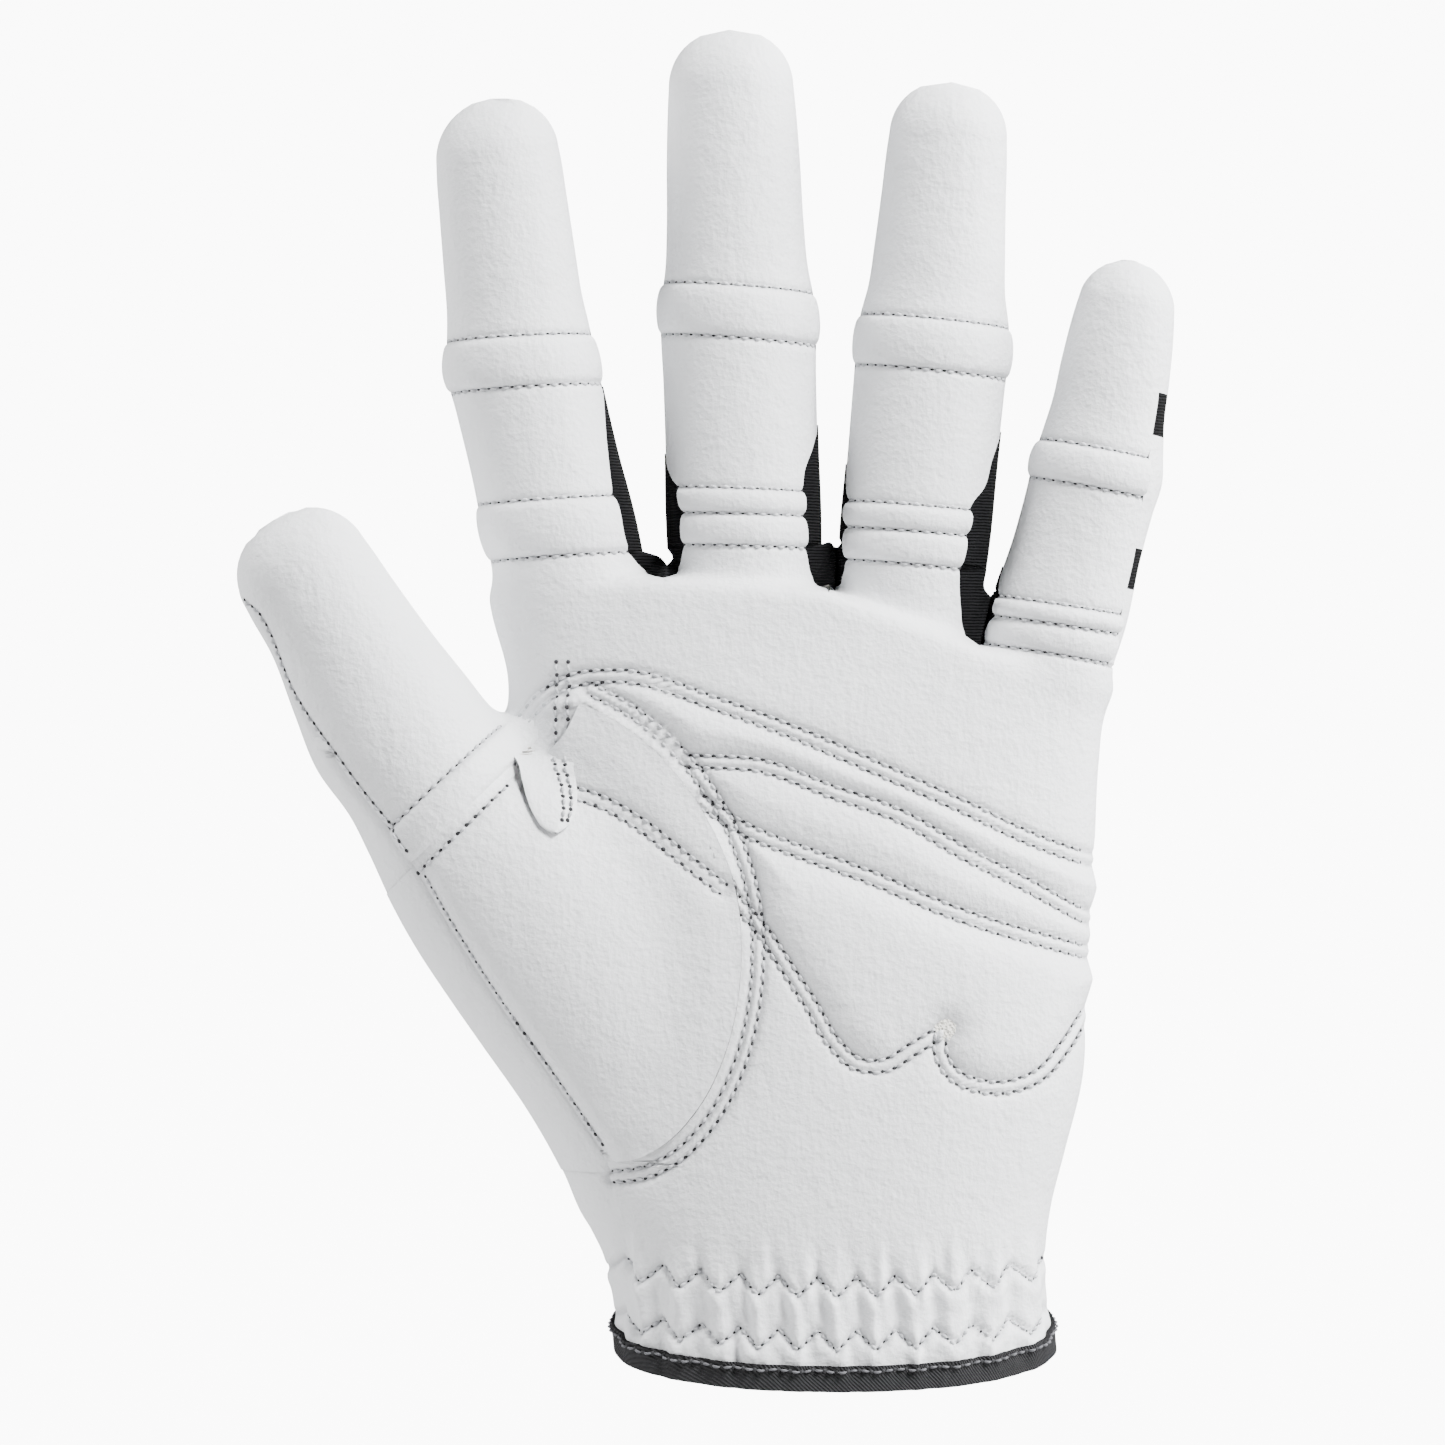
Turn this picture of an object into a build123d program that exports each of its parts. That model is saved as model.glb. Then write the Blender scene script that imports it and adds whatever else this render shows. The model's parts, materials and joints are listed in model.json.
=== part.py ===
from build123d import *
import os
from math import radians, tan

# Golf glove for the left hand, standing as it does on a raised hand: fingers up along +Z, palm
# facing -Y, thumb towards -X. The origin is the centre of the cuff's mouth. Millimetres.
#
# Every shell comes from one family of lofts, hand(offset) and finger tubes, where the offset moves
# the wall in (negative) or out (positive). Leather, foam, lining and bindings are the differences
# of two members of that family, cut to their outlines.

# ---- Driving dimensions --------------------------------------------------------------------------
LEATHER = 0.9            # leather with its seam allowance, as one wall
PAD = 1.8                # foam under the palm leather
LINING = 0.4             # thin cloth that closes the foam pockets
CLEAR = 0.15             # room between separate pieces that only face each other
DEPTH_SHARE = 0.88       # a finger is a little shallower than it is wide

KNUCKLE_FLEX = 70.0      # degrees that a finger folds at its base
MIDDLE_FLEX = 90.0       # degrees that it folds at its middle joint
THUMB_FLEX = 50.0
FOLD_ROOM = 2.0          # degrees of extra room in each fold
HINGE_GAP = 0.25         # half of the gap between two walls at a fold
STRETCH_BAND = 9.0       # length of the black stretch band over a knuckle
FOURCHETTE = 5.0         # half of the depth of the strip between two fingers
ROLL_RISE = 1.2          # how far a padded roll stands out of the leather

MOUTH_TILT = 0.25        # the cuff's edge falls by this share of the depth, towards the palm
BINDING_HEIGHT = 4.2
BINDING_WALL = 0.6
CROTCH_EDGE = 12.6       # from the middle of the thumb's fold to the palm's edge
SLIT_TOP = 50.0
SLIT_HALF = 1.6
TAB_LOW, TAB_HIGH = 13.0, 36.0
TAB_HINGE_X, TAB_END_X = -21.0, 25.0
FAR = 60.0               # half size of the tools that cut a shell


# ---- The hand's own shapes ------------------------------------------------------------------------
def ellipse_loft(sections):
    """Straight-sided loft through (plane, half width, half depth)."""
    return loft([plane * Ellipse(a, b) for plane, a, b in sections], ruled=True)


def along(direction):
    """Plane directions for a tube: z along it, y away from the palm, x across."""
    z_dir = Vector(*direction).normalized()
    return Vector(0, 1, 0).cross(z_dir).normalized(), z_dir


# Palm sections from the wrist to the webs: height, centre x, half width, half depth, slope of the
# section in degrees. The last one slopes down towards the little finger, as the webs do.
PALM = [
    (-14.0, 0.0, 36.0, 22.5, 0.0),
    (0.0, 0.0, 35.8, 22.0, 0.0),
    (14.0, -0.8, 35.6, 21.0, 0.0),
    (28.0, -1.4, 38.2, 21.0, 0.0),
    (52.0, -2.0, 43.5, 20.0, 0.0),
    (80.0, -3.5, 46.3, 17.5, 0.0),
    (105.0, -4.5, 48.3, 15.5, 0.0),
    (122.0, -4.6, 50.5, 13.0, -8.5),
]

# Mound of the thumb, square to the thumb's line: distance below the thumb's fold, shift towards
# the palm, half width, half depth.
MOUND = [
    (-12.0, 0.0, 13.2, 11.8),
    (0.0, 0.0, 13.4, 12.2),
    (20.0, 5.0, 18.5, 15.0),
    (42.0, 8.0, 21.0, 17.0),
    (60.0, 4.5, 17.0, 16.5),
    (72.0, 1.0, 11.0, 12.0),
]
THUMB_FOLD = (-63.0, -6.0, 90.3)
THUMB_TIP = (-91.7, -13.0, 137.5)


class Finger:
    """One finger: where it folds, where it ends, its widths and which sides carry a fourchette."""

    def __init__(self, base, middle, tip, widths, sides, reach=(12.9, 12.9)):
        self.base, self.middle, self.tip = base, middle, tip
        self.root_width, self.lower_width, self.upper_width, self.end_width = widths
        self.sides, self.reach = sides, reach
        self.lower_length = (Vector(*middle) - Vector(*base)).length
        self.tip_length = (Vector(*tip) - Vector(*middle)).length
        self.lower_dir = Vector(*middle) - Vector(*base)
        self.tip_dir = Vector(*tip) - Vector(*middle)
        self.bend_dir = self.lower_dir.normalized() + self.tip_dir.normalized()


FINGERS = {
    "index": Finger((-45.8, 0.5, 135.8), (-52.2, -1.0, 162.8), (-56.7, -6.0, 207.0),
                    (25.4, 25.2, 24.0, 19.5), (1,)),
    "middle": Finger((-15.2, 1.5, 137.0), (-16.2, 0.5, 172.0), (-17.8, -4.5, 218.7),
                     (25.6, 25.4, 24.2, 19.8), (-1, 1)),
    "ring": Finger((13.3, 0.5, 134.7), (16.2, -1.0, 165.8), (19.2, -6.0, 209.8),
                   (24.6, 25.2, 23.6, 18.8), (-1, 1)),
    "little": Finger((37.2, -1.0, 121.5), (43.7, -3.0, 145.8), (48.3, -8.0, 180.0),
                     (21.8, 21.6, 20.0, 15.8), (-1,), (10.9, 14.0)),
}
STUB_DEPTH = 20.0         # how far a finger's root reaches down into the palm


def palm(offset):
    """The palm's own volume, with its wall moved by offset."""
    sections = []
    for height, x, half_width, half_depth, slope in PALM:
        x_dir = Vector(1, 0, 0).rotate(Axis.Y, -slope)
        z_dir = Vector(0, 0, 1).rotate(Axis.Y, -slope)
        level = height + (2 * offset if height == PALM[0][0] else 0)
        level += offset if height == PALM[-1][0] else 0
        sections.append((Plane((x, 0, level), x_dir, z_dir), half_width + offset, half_depth + offset))
    return ellipse_loft(sections)


def mound(offset):
    """The thumb's mound, which runs from above the thumb's fold into the wrist."""
    x_dir, up = along(Vector(*THUMB_TIP) - Vector(*THUMB_FOLD))
    sections = []
    for depth, shift, half_width, half_depth in MOUND:
        middle = Vector(*THUMB_FOLD) - up * (depth + (offset if depth < 0 else 0)) + x_dir * shift
        sections.append((Plane(middle, x_dir, up), half_width + offset, half_depth + offset))
    return ellipse_loft(sections)


def tube(origin, direction, offset, stations):
    """Elliptical tube along direction through (distance, width) stations."""
    x_dir, z_dir = along(direction)
    sections = []
    for distance, width in stations:
        centre = Vector(*origin) + z_dir * distance
        half = width / 2 + offset
        sections.append((Plane(centre, x_dir, z_dir), half, half - width / 2 * (1 - DEPTH_SHARE)))
    return ellipse_loft(sections)


def fingertip_stations(length, start_width, end_width, offset):
    """Widths along a finger's last part: a taper that ends in a round dome."""
    radius = end_width / 2
    stations = [(-12.0 + offset, start_width), (0.0, start_width), (length - radius, end_width)]
    for share in (0.45, 0.75, 0.93):
        rise = (1 - share**2) ** 0.5
        stations.append((length - radius + (radius + offset) * share, 2 * radius * rise - 2 * offset * (1 - rise)))
    stations.append((length + offset, 2 * radius * 0.2 - 2 * offset * 0.8))
    return stations


def stub(finger, offset):
    """A finger's root, from inside the palm to past its base fold."""
    stations = [(-STUB_DEPTH, finger.root_width - 2.5), (-6.0, finger.root_width),
                (11.0 - offset, finger.root_width)]
    return tube(finger.base, finger.lower_dir, offset, stations)


def lower(finger, offset):
    """A finger between its two folds, past both ends."""
    stations = [(-10.0 + offset, finger.root_width), (0.0, finger.root_width),
                (finger.lower_length, finger.lower_width),
                (finger.lower_length + 12.0 - offset, finger.lower_width)]
    return tube(finger.base, finger.lower_dir, offset, stations)


def upper(finger, offset):
    """A finger from its middle fold to its tip."""
    stations = fingertip_stations(finger.tip_length, finger.upper_width, finger.end_width, offset)
    return tube(finger.middle, finger.tip_dir, offset, stations)


# ---- Cutting tools ----------------------------------------------------------------------------------
def hinge_frame(point, direction):
    """A fold's own frame: x across the finger, y away from the palm, z along the finger."""
    x_dir, z_dir = along(direction)
    return Plane(Vector(*point), x_dir, z_dir)


def slab(frame, outline, left, right):
    """Solid whose (y, z) outline in the frame runs from x = left to x = right."""
    local = Plane(Vector(left, 0, 0), Vector(0, 1, 0), Vector(1, 0, 0))
    face = local * make_face(Polyline(*outline, close=True))
    return frame.location * extrude(face, right - left)


def past_fold(frame, flex, side, left=-FAR / 4, right=FAR / 4):
    """What lies beyond a fold: side 1 is towards the fingertip and -1 towards the wrist. On the
    palm's side the cut leans away from the fold, so that the folded walls don't meet."""
    lean = tan(radians(flex / 2 + FOLD_ROOM))
    near, far = -HINGE_GAP, FAR
    outline = [(20, near), (0, near), (-20, near - 20 * lean), (-20, far), (20, far)]
    return slab(frame, [(y, side * z) for y, z in outline], left, right)


def front(x_low=-2 * FAR, x_high=2 * FAR):
    """Everything on the palm's side."""
    return Pos((x_low + x_high) / 2, -FAR, 100) * Box(x_high - x_low, 2 * FAR, 400)


def block(x, y, z):
    """Box from ranges."""
    centre = [(low + high) / 2 for low, high in (x, y, z)]
    return Pos(*centre) * Box(*[high - low for low, high in (x, y, z)])


def region(outline, y_low, y_high):
    """Outline in (x, z) carried from y_low to y_high."""
    plane = Plane(Vector(0, y_low, 0), Vector(1, 0, 0), Vector(0, -1, 0))
    face = plane * make_face(outline)
    return extrude(face, -(y_high - y_low))


def above_mouth(rise):
    """Everything above the cuff's slanting edge, moved up by rise."""
    tall = 300.0
    outline = [(-FAR, rise - MOUTH_TILT * FAR), (FAR, rise + MOUTH_TILT * FAR), (FAR, tall), (-FAR, tall)]
    return slab(Plane.XY, outline, -2 * FAR, 2 * FAR)


def save(shape, name):
    """One node: every closed solid of the shape, slivers left out."""
    solids = [s for s in shape.solids() if s.volume > 1.0]
    export_step(Compound(solids) if len(solids) > 1 else solids[0], f"parts/{name}.step")


os.makedirs("parts", exist_ok=True)

# ---- Hand shell, as one wall, then shared out to its pieces -----------------------------------------
thumb_frame = hinge_frame(THUMB_FOLD, Vector(*THUMB_TIP) - Vector(*THUMB_FOLD))


def hand(offset):
    """Palm, thumb mound and finger roots as one volume."""
    whole = palm(offset) + mound(offset)
    for finger in FINGERS.values():
        whole += stub(finger, offset)
    return whole


outside = hand(0)
inside = hand(-LEATHER)
wall = outside - inside
for finger in FINGERS.values():
    wall -= past_fold(hinge_frame(finger.base, finger.lower_dir), KNUCKLE_FLEX, 1,
                      -finger.reach[0], finger.reach[1])
wall -= past_fold(thumb_frame, THUMB_FLEX, 1, -16, CROTCH_EDGE)
# The palm's edge beside the thumb's fold stands back from the thumb as it swings.
swing = thumb_frame.location * Pos(CROTCH_EDGE, 0, 0) * Rotation(0, 90, 0) * Cylinder(13.5, 2.8)
wall -= swing & past_fold(thumb_frame, THUMB_FLEX, 1)
wall &= above_mouth(0.8)

# Slit in the back of the cuff, with a round top, closed by the tab.
slit_line = Line((-SLIT_HALF, -20), (-SLIT_HALF, SLIT_TOP)) + Line((SLIT_HALF, SLIT_TOP), (SLIT_HALF, -20))
slit_line += ThreePointArc((-SLIT_HALF, SLIT_TOP), (0, SLIT_TOP + SLIT_HALF), (SLIT_HALF, SLIT_TOP))
slit_line += Line((-SLIT_HALF, -20), (SLIT_HALF, -20))
slit = region(slit_line, 0.5, FAR)
wall -= slit

# Thumb piece: its seam is the big arc over the heel of the thumb.
thumb_seam = ThreePointArc((-42.5, 104.0), (-13.6, 68.0), (-37.0, 31.0))
thumb_seam += Polyline((-37.0, 31.0), (-60.0, 20.0), (-120.0, 70.0), (-120.0, 104.0), (-54.0, 97.0),
                       (-48.0, 86.0), (-44.0, 86.0), (-42.5, 104.0))
thumb_front_region = region(thumb_seam, -FAR, 0)
thumb_back_region = region(Polyline((-51.5, 98.0), (-38.0, 24.0), (-60.0, 15.0), (-120.0, 60.0),
                                    (-120.0, 110.0), close=True), 0, FAR)

# Webs: where the black strip between two fingers turns round, as (x range, lowest z).
WEBS = {
    "index_middle": ((-37.0, -24.0), 122.5),
    "middle_ring": ((-6.0, 5.0), 118.5),
    "ring_little": ((20.0, 30.5), 114.5),
}

front_wall = wall & front()
back_wall = wall - front()
web_blocks = {}
for name, (x_range, z_low) in WEBS.items():
    web_blocks[name] = block(x_range, (-FOURCHETTE, FOURCHETTE), (z_low, 150))
    save(wall & web_blocks[name], f"{name}_fourchette")
    front_wall -= web_blocks[name]
    back_wall -= web_blocks[name]

# The stretch bands over the knuckles take their place out of the back's wall.
for name, finger in FINGERS.items():
    back_wall -= slab(hinge_frame(finger.base, finger.lower_dir),
                      [(3, -STRETCH_BAND / 2), (3, 30), (30, 30), (30, -STRETCH_BAND / 2)],
                      -finger.reach[0], finger.reach[1])

save(front_wall & thumb_front_region, "thumb_heel_leather")
save(back_wall & thumb_back_region, "thumb_root_back_leather")
save(front_wall - thumb_front_region, "palm_leather")
save(back_wall - thumb_back_region, "back_leather")

# Folded leather strip that closes the crotch of the thumb, sewn inside the palm's leather.
crotch = region(Polyline((-48.5, 112), (-43.0, 112), (-41.0, 87), (-47.0, 87), close=True), -FAR, -2)
pocket = inside - hand(-LEATHER - 0.8)
save(pocket & crotch, "thumb_crotch_strip")

# ---- Foam pads and their lining, under the palm's leather --------------------------------------------
pad_layer = (palm(-LEATHER) - palm(-LEATHER - PAD)) & front()
lining_layer = (palm(-LEATHER - PAD) - palm(-LEATHER - PAD - LINING)) & front()
CREASE_PAD = Polyline((-38, 107), (-22, 106.5), (2, 96.5), (38, 82), (38, 73), (10.8, 84), (-22, 96.5), close=True)
HEEL_PAD = Polyline((-20, 88), (38, 64.5), (38, 54), (33, 46.5), (27.5, 44), (21, 47), (17.5, 53),
                    (8, 48.5), (2.5, 49), (-5, 61), (-12, 73), close=True)
save(pad_layer & region(CREASE_PAD, -FAR, 0), "crease_pad")
save(pad_layer & region(HEEL_PAD, -FAR, 0), "heel_pad")
save(lining_layer & block((-34, 38), (-FAR, -6), (38, 108)), "palm_lining")

# ---- Cuff: bound edge, elastics, slit binding, size label --------------------------------------------
tape = palm(BINDING_WALL) - palm(-LEATHER - BINDING_WALL)
leather_wall = palm(0) - palm(-LEATHER)
cuff_ring = (tape & above_mouth(-0.9)) - above_mouth(BINDING_HEIGHT - 0.9) - slit
save(cuff_ring - (leather_wall & above_mouth(0.8)), "cuff_binding")

WIDE = SLIT_HALF + 3.0
slit_rim = Line((-WIDE, -20), (-WIDE, SLIT_TOP)) + Line((WIDE, SLIT_TOP), (WIDE, -20))
slit_rim += ThreePointArc((-WIDE, SLIT_TOP), (0, SLIT_TOP + WIDE), (WIDE, SLIT_TOP)) + Line((-WIDE, -20), (WIDE, -20))
rim_band = (region(slit_rim, 0.5, FAR) - slit) & above_mouth(BINDING_HEIGHT - 0.8)
slit_tape = (palm(BINDING_WALL) - palm(0)) + (palm(-LEATHER) - palm(-LEATHER - BINDING_WALL))
save(slit_tape & rim_band, "slit_binding")

ELASTIC_ROWS = ((8.5, 13.5), (16.5, 21.5))
elastic_layer = (palm(-LEATHER) - palm(-LEATHER - 0.8)) & front()
elastics = [elastic_layer & block((-33, 33), (-FAR, -4), row) for row in ELASTIC_ROWS]
save(Compound([s for row in elastics for s in row.solids()]), "cuff_elastics")

label_layer = palm(-LEATHER) - palm(-LEATHER - 0.3)
save(label_layer & block((12, 26), (0, FAR), (14, 34)), "size_label")

# ---- Closure tab ----------------------------------------------------------------------------------------
LOOP_TOP, HOOK_LOW, HOOK_TOP, TAB_TOP = 0.8, 0.9, 1.9, 2.9
tab_span = (TAB_LOW, TAB_HIGH)
round_end = TAB_END_X - 8.0
tab_outline = Line((TAB_HINGE_X + 0.8, TAB_LOW), (round_end, TAB_LOW + 2))
tab_outline += ThreePointArc((round_end, TAB_LOW + 2), (TAB_END_X, (TAB_LOW + TAB_HIGH) / 2), (round_end, TAB_HIGH - 2))
tab_outline += Line((round_end, TAB_HIGH - 2), (TAB_HINGE_X + 0.8, TAB_HIGH))
tab_outline += Line((TAB_HINGE_X + 0.8, TAB_HIGH), (TAB_HINGE_X + 0.8, TAB_LOW))
save((palm(TAB_TOP) - palm(HOOK_TOP)) & region(tab_outline, 0, FAR), "closure_tab")
save((palm(HOOK_TOP) - palm(HOOK_LOW)) & block((6.5, 19.0), (0, FAR), (TAB_LOW + 4, TAB_HIGH - 4)), "hook_patch")
save((palm(LOOP_TOP) - outside) & block((5.2, 27.0), (0, FAR), (TAB_LOW + 1, TAB_HIGH - 1)), "loop_patch")
anchor = (palm(TAB_TOP) - outside) & block((TAB_HINGE_X - 6.5, TAB_HINGE_X - 1.6), (0, FAR), tab_span)
save(anchor, "tab_anchor")

# ---- Fingers -----------------------------------------------------------------------------------------------
def share_out(shell, frame, name, sides):
    """A tube's wall as front leather, back leather and the black strips on its inner sides."""
    palm_side = slab(frame, [(0, -FAR), (0, FAR), (-30, FAR), (-30, -FAR)], -20, 20)
    halves = {"front": shell & palm_side, "back": shell - palm_side}
    strips = []
    for side in sides:
        left, right = (4, 20) if side > 0 else (-20, -4)
        edge = FOURCHETTE
        strip = slab(frame, [(-edge, -FAR), (-edge, FAR), (edge, FAR), (edge, -FAR)], left, right)
        strips += (shell & strip).solids()
        halves = {half: piece - strip for half, piece in halves.items()}
    for half, piece in halves.items():
        save(piece, f"{name}_{half}_leather")
    if strips:
        save(Compound(strips), f"{name}_fourchette")


def fold_pieces(frame, width, flex, name):
    """What closes a fold: the padded roll on the palm's side and the stretch band on the back."""
    half, depth = width / 2, width / 2 * DEPTH_SHARE
    around = frame.location * Pos(0, 0, -15)
    inner = around * extrude(Ellipse(half - LEATHER, depth - LEATHER), 30)
    roll = around * extrude(Ellipse(half + ROLL_RISE, depth + ROLL_RISE), 30) - inner
    lean = tan(radians(flex / 2 + FOLD_ROOM))
    start = -1.5
    reach = 20.0
    wedge = [(start, -start * lean - CLEAR), (-reach, reach * lean - CLEAR),
             (-reach, CLEAR - reach * lean), (start, CLEAR + start * lean)]
    save(roll & slab(frame, wedge, -20, 20), f"{name}_roll")
    band = around * extrude(Ellipse(half, depth), 30) - inner
    end = STRETCH_BAND / 2 - CLEAR
    outline = [(3 + CLEAR, -end), (3 + CLEAR, end), (20, end), (20, -end)]
    band &= slab(frame, outline, -20, 20)
    for web in web_blocks.values():
        band -= web
    save(band, f"{name}_band")


def back_window(frame):
    """Room in the back's wall for a stretch band."""
    end = STRETCH_BAND / 2
    return slab(frame, [(3, -end), (3, end), (20, end), (20, -end)], -20, 20)


for name, finger in FINGERS.items():
    base_frame = hinge_frame(finger.base, finger.lower_dir)
    middle_frame = hinge_frame(finger.middle, finger.bend_dir)
    tip_frame = hinge_frame(finger.middle, finger.tip_dir)

    shell = lower(finger, 0) - lower(finger, -LEATHER)
    shell -= past_fold(base_frame, KNUCKLE_FLEX, -1)
    shell -= past_fold(middle_frame, MIDDLE_FLEX, 1)
    shell -= back_window(base_frame)
    shell -= back_window(middle_frame)
    share_out(shell, base_frame, f"{name}_lower", finger.sides)

    shell = upper(finger, 0) - upper(finger, -LEATHER)
    shell -= past_fold(middle_frame, MIDDLE_FLEX, -1)
    shell -= back_window(middle_frame)
    share_out(shell, tip_frame, f"{name}_tip", ())

    fold_pieces(base_frame, finger.root_width, KNUCKLE_FLEX, f"{name}_base")
    fold_pieces(middle_frame, finger.lower_width, MIDDLE_FLEX, f"{name}_middle")

# ---- Thumb -----------------------------------------------------------------------------------------------------
THUMB_WIDTH, THUMB_END_WIDTH = 26.8, 22.4
thumb_dir = Vector(*THUMB_TIP) - Vector(*THUMB_FOLD)


def thumb(offset):
    """The thumb from its fold to its tip."""
    stations = fingertip_stations(thumb_dir.length, THUMB_WIDTH, THUMB_END_WIDTH, offset)
    return tube(THUMB_FOLD, thumb_dir, offset, stations)


shell = thumb(0) - thumb(-LEATHER)
shell -= past_fold(thumb_frame, THUMB_FLEX, -1)
share_out(shell, thumb_frame, "thumb", ())
half_width, half_depth = THUMB_WIDTH / 2, THUMB_WIDTH / 2 * DEPTH_SHARE
around = thumb_frame.location * Pos(0, 0, -12)
roll = around * extrude(Ellipse(half_width + ROLL_RISE, half_depth + ROLL_RISE), 24)
roll -= around * extrude(Ellipse(half_width - LEATHER, half_depth - LEATHER), 24)
lean = tan(radians(THUMB_FLEX / 2 + FOLD_ROOM))
wedge = [(-3, 3 * lean - CLEAR), (-20, 20 * lean - CLEAR), (-20, CLEAR - 20 * lean), (-3, CLEAR - 3 * lean)]
save(roll & slab(thumb_frame, wedge, -20, 20), "thumb_roll")
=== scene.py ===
import json

import bpy
import numpy as np
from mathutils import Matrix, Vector


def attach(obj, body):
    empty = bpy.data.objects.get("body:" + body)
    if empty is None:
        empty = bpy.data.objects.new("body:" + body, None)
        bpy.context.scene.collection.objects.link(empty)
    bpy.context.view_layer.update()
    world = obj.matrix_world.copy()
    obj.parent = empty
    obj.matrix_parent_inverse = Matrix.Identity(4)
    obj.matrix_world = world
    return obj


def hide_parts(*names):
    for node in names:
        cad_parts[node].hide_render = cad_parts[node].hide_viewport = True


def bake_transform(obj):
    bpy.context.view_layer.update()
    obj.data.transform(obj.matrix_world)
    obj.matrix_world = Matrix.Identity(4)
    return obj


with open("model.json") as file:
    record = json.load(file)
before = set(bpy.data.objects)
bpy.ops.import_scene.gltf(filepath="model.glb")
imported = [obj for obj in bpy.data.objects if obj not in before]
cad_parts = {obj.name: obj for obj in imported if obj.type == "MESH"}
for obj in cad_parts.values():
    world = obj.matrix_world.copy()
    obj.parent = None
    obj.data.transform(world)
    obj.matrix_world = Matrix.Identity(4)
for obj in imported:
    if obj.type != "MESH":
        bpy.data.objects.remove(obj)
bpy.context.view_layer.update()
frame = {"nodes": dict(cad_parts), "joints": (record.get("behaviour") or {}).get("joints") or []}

# ---- Palm leather -------------------------------------------------------------------------------
# The front of the hand and the roots of its fingers, cut from one piece of thin white hairsheep
# leather. It is sewn down in double rows over foam, gathered at the wrist by elastic, and turned in
# under the black strips between the fingers.
MM = 0.001
FOLDS = {joint["name"]: np.array(joint["pos_m"]) / MM for joint in frame["joints"]}


class Value:
    """A shader value: arithmetic on it adds Math nodes."""

    def __init__(self, tree, socket):
        self.tree, self.socket = tree, socket

    def math(self, operation, *inputs):
        return self.tree.node("ShaderNodeMath", "Value", dict(operation=operation), **{str(i): v for i, v in enumerate(inputs)})

    def __add__(self, other):
        return self.math("ADD", self, other)

    def __sub__(self, other):
        return self.math("SUBTRACT", self, other)

    def __mul__(self, other):
        return self.math("MULTIPLY", self, other)

    def __rsub__(self, other):
        return self.math("SUBTRACT", other, self)

    def __pow__(self, other):
        return self.math("POWER", self, other)

    def sine(self):
        return self.math("SINE", self)

    __radd__, __rmul__ = __add__, __mul__


class Finish:
    """A material and its nodes. node() adds any node: its type, the output that is wanted, its own
    settings, and values or links for its sockets, named, or numbered as strings."""

    def __init__(self, name):
        self.material = bpy.data.materials.new(name)
        self.material.use_nodes = True
        self.nodes, self.links = self.material.node_tree.nodes, self.material.node_tree.links
        self.shader = self.nodes["Principled BSDF"]

    def node(self, kind, output, settings=None, **inputs):
        made = self.nodes.new(kind)
        for key, value in (settings or {}).items():
            if key == "stops":
                ramp = made.color_ramp.elements
                while len(ramp) < len(value):
                    ramp.new(0.5)
                for stop, (place, colour) in zip(ramp, value):
                    stop.position, stop.color = place, (*colour, 1)
            else:
                setattr(made, key, value)
        for key, value in inputs.items():
            self.join(value, made.inputs[int(key) if key.isdigit() else key.replace("_", " ")])
        return Value(self, made.outputs[output])

    def join(self, value, socket):
        if isinstance(value, Value):
            self.links.new(value.socket, socket)
        else:
            socket.default_value = value

    def place(self, scale=(1, 1, 1), turn=0.0, source="Object"):
        """Coordinates in millimetres, stretched by scale and turned about Y."""
        where = self.node("ShaderNodeTexCoord", source)
        size = [s / MM if source == "Object" else s for s in scale]
        return self.node("ShaderNodeMapping", "Vector", Vector=where, Rotation=(0, turn, 0), Scale=size)

    def noise(self, where, scale, detail=3.0, rough=0.5):
        return self.node("ShaderNodeTexNoise", "Fac", Vector=where, Scale=scale, Detail=detail, Roughness=rough)

    def cells(self, where, scale, feature="F1"):
        return self.node("ShaderNodeTexVoronoi", "Distance", dict(feature=feature), Vector=where, Scale=scale)

    def mix(self, share, first, second):
        """Colour between first and second."""
        return self.node("ShaderNodeMix", 2, dict(data_type="RGBA"), **{"0": share, "6": first, "7": second})

    def bump(self, height, depth, under=None):
        """Normal for a height that is 0 to 1 over depth millimetres."""
        extra = {} if under is None else {"Normal": under}
        return self.node("ShaderNodeBump", "Normal", Height=height, Distance=depth * MM, Strength=1.0, **extra)

    def finish(self, **inputs):
        for key, value in inputs.items():
            self.join(value, self.shader.inputs[key.replace("_", " ")])
        return self.material


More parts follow.
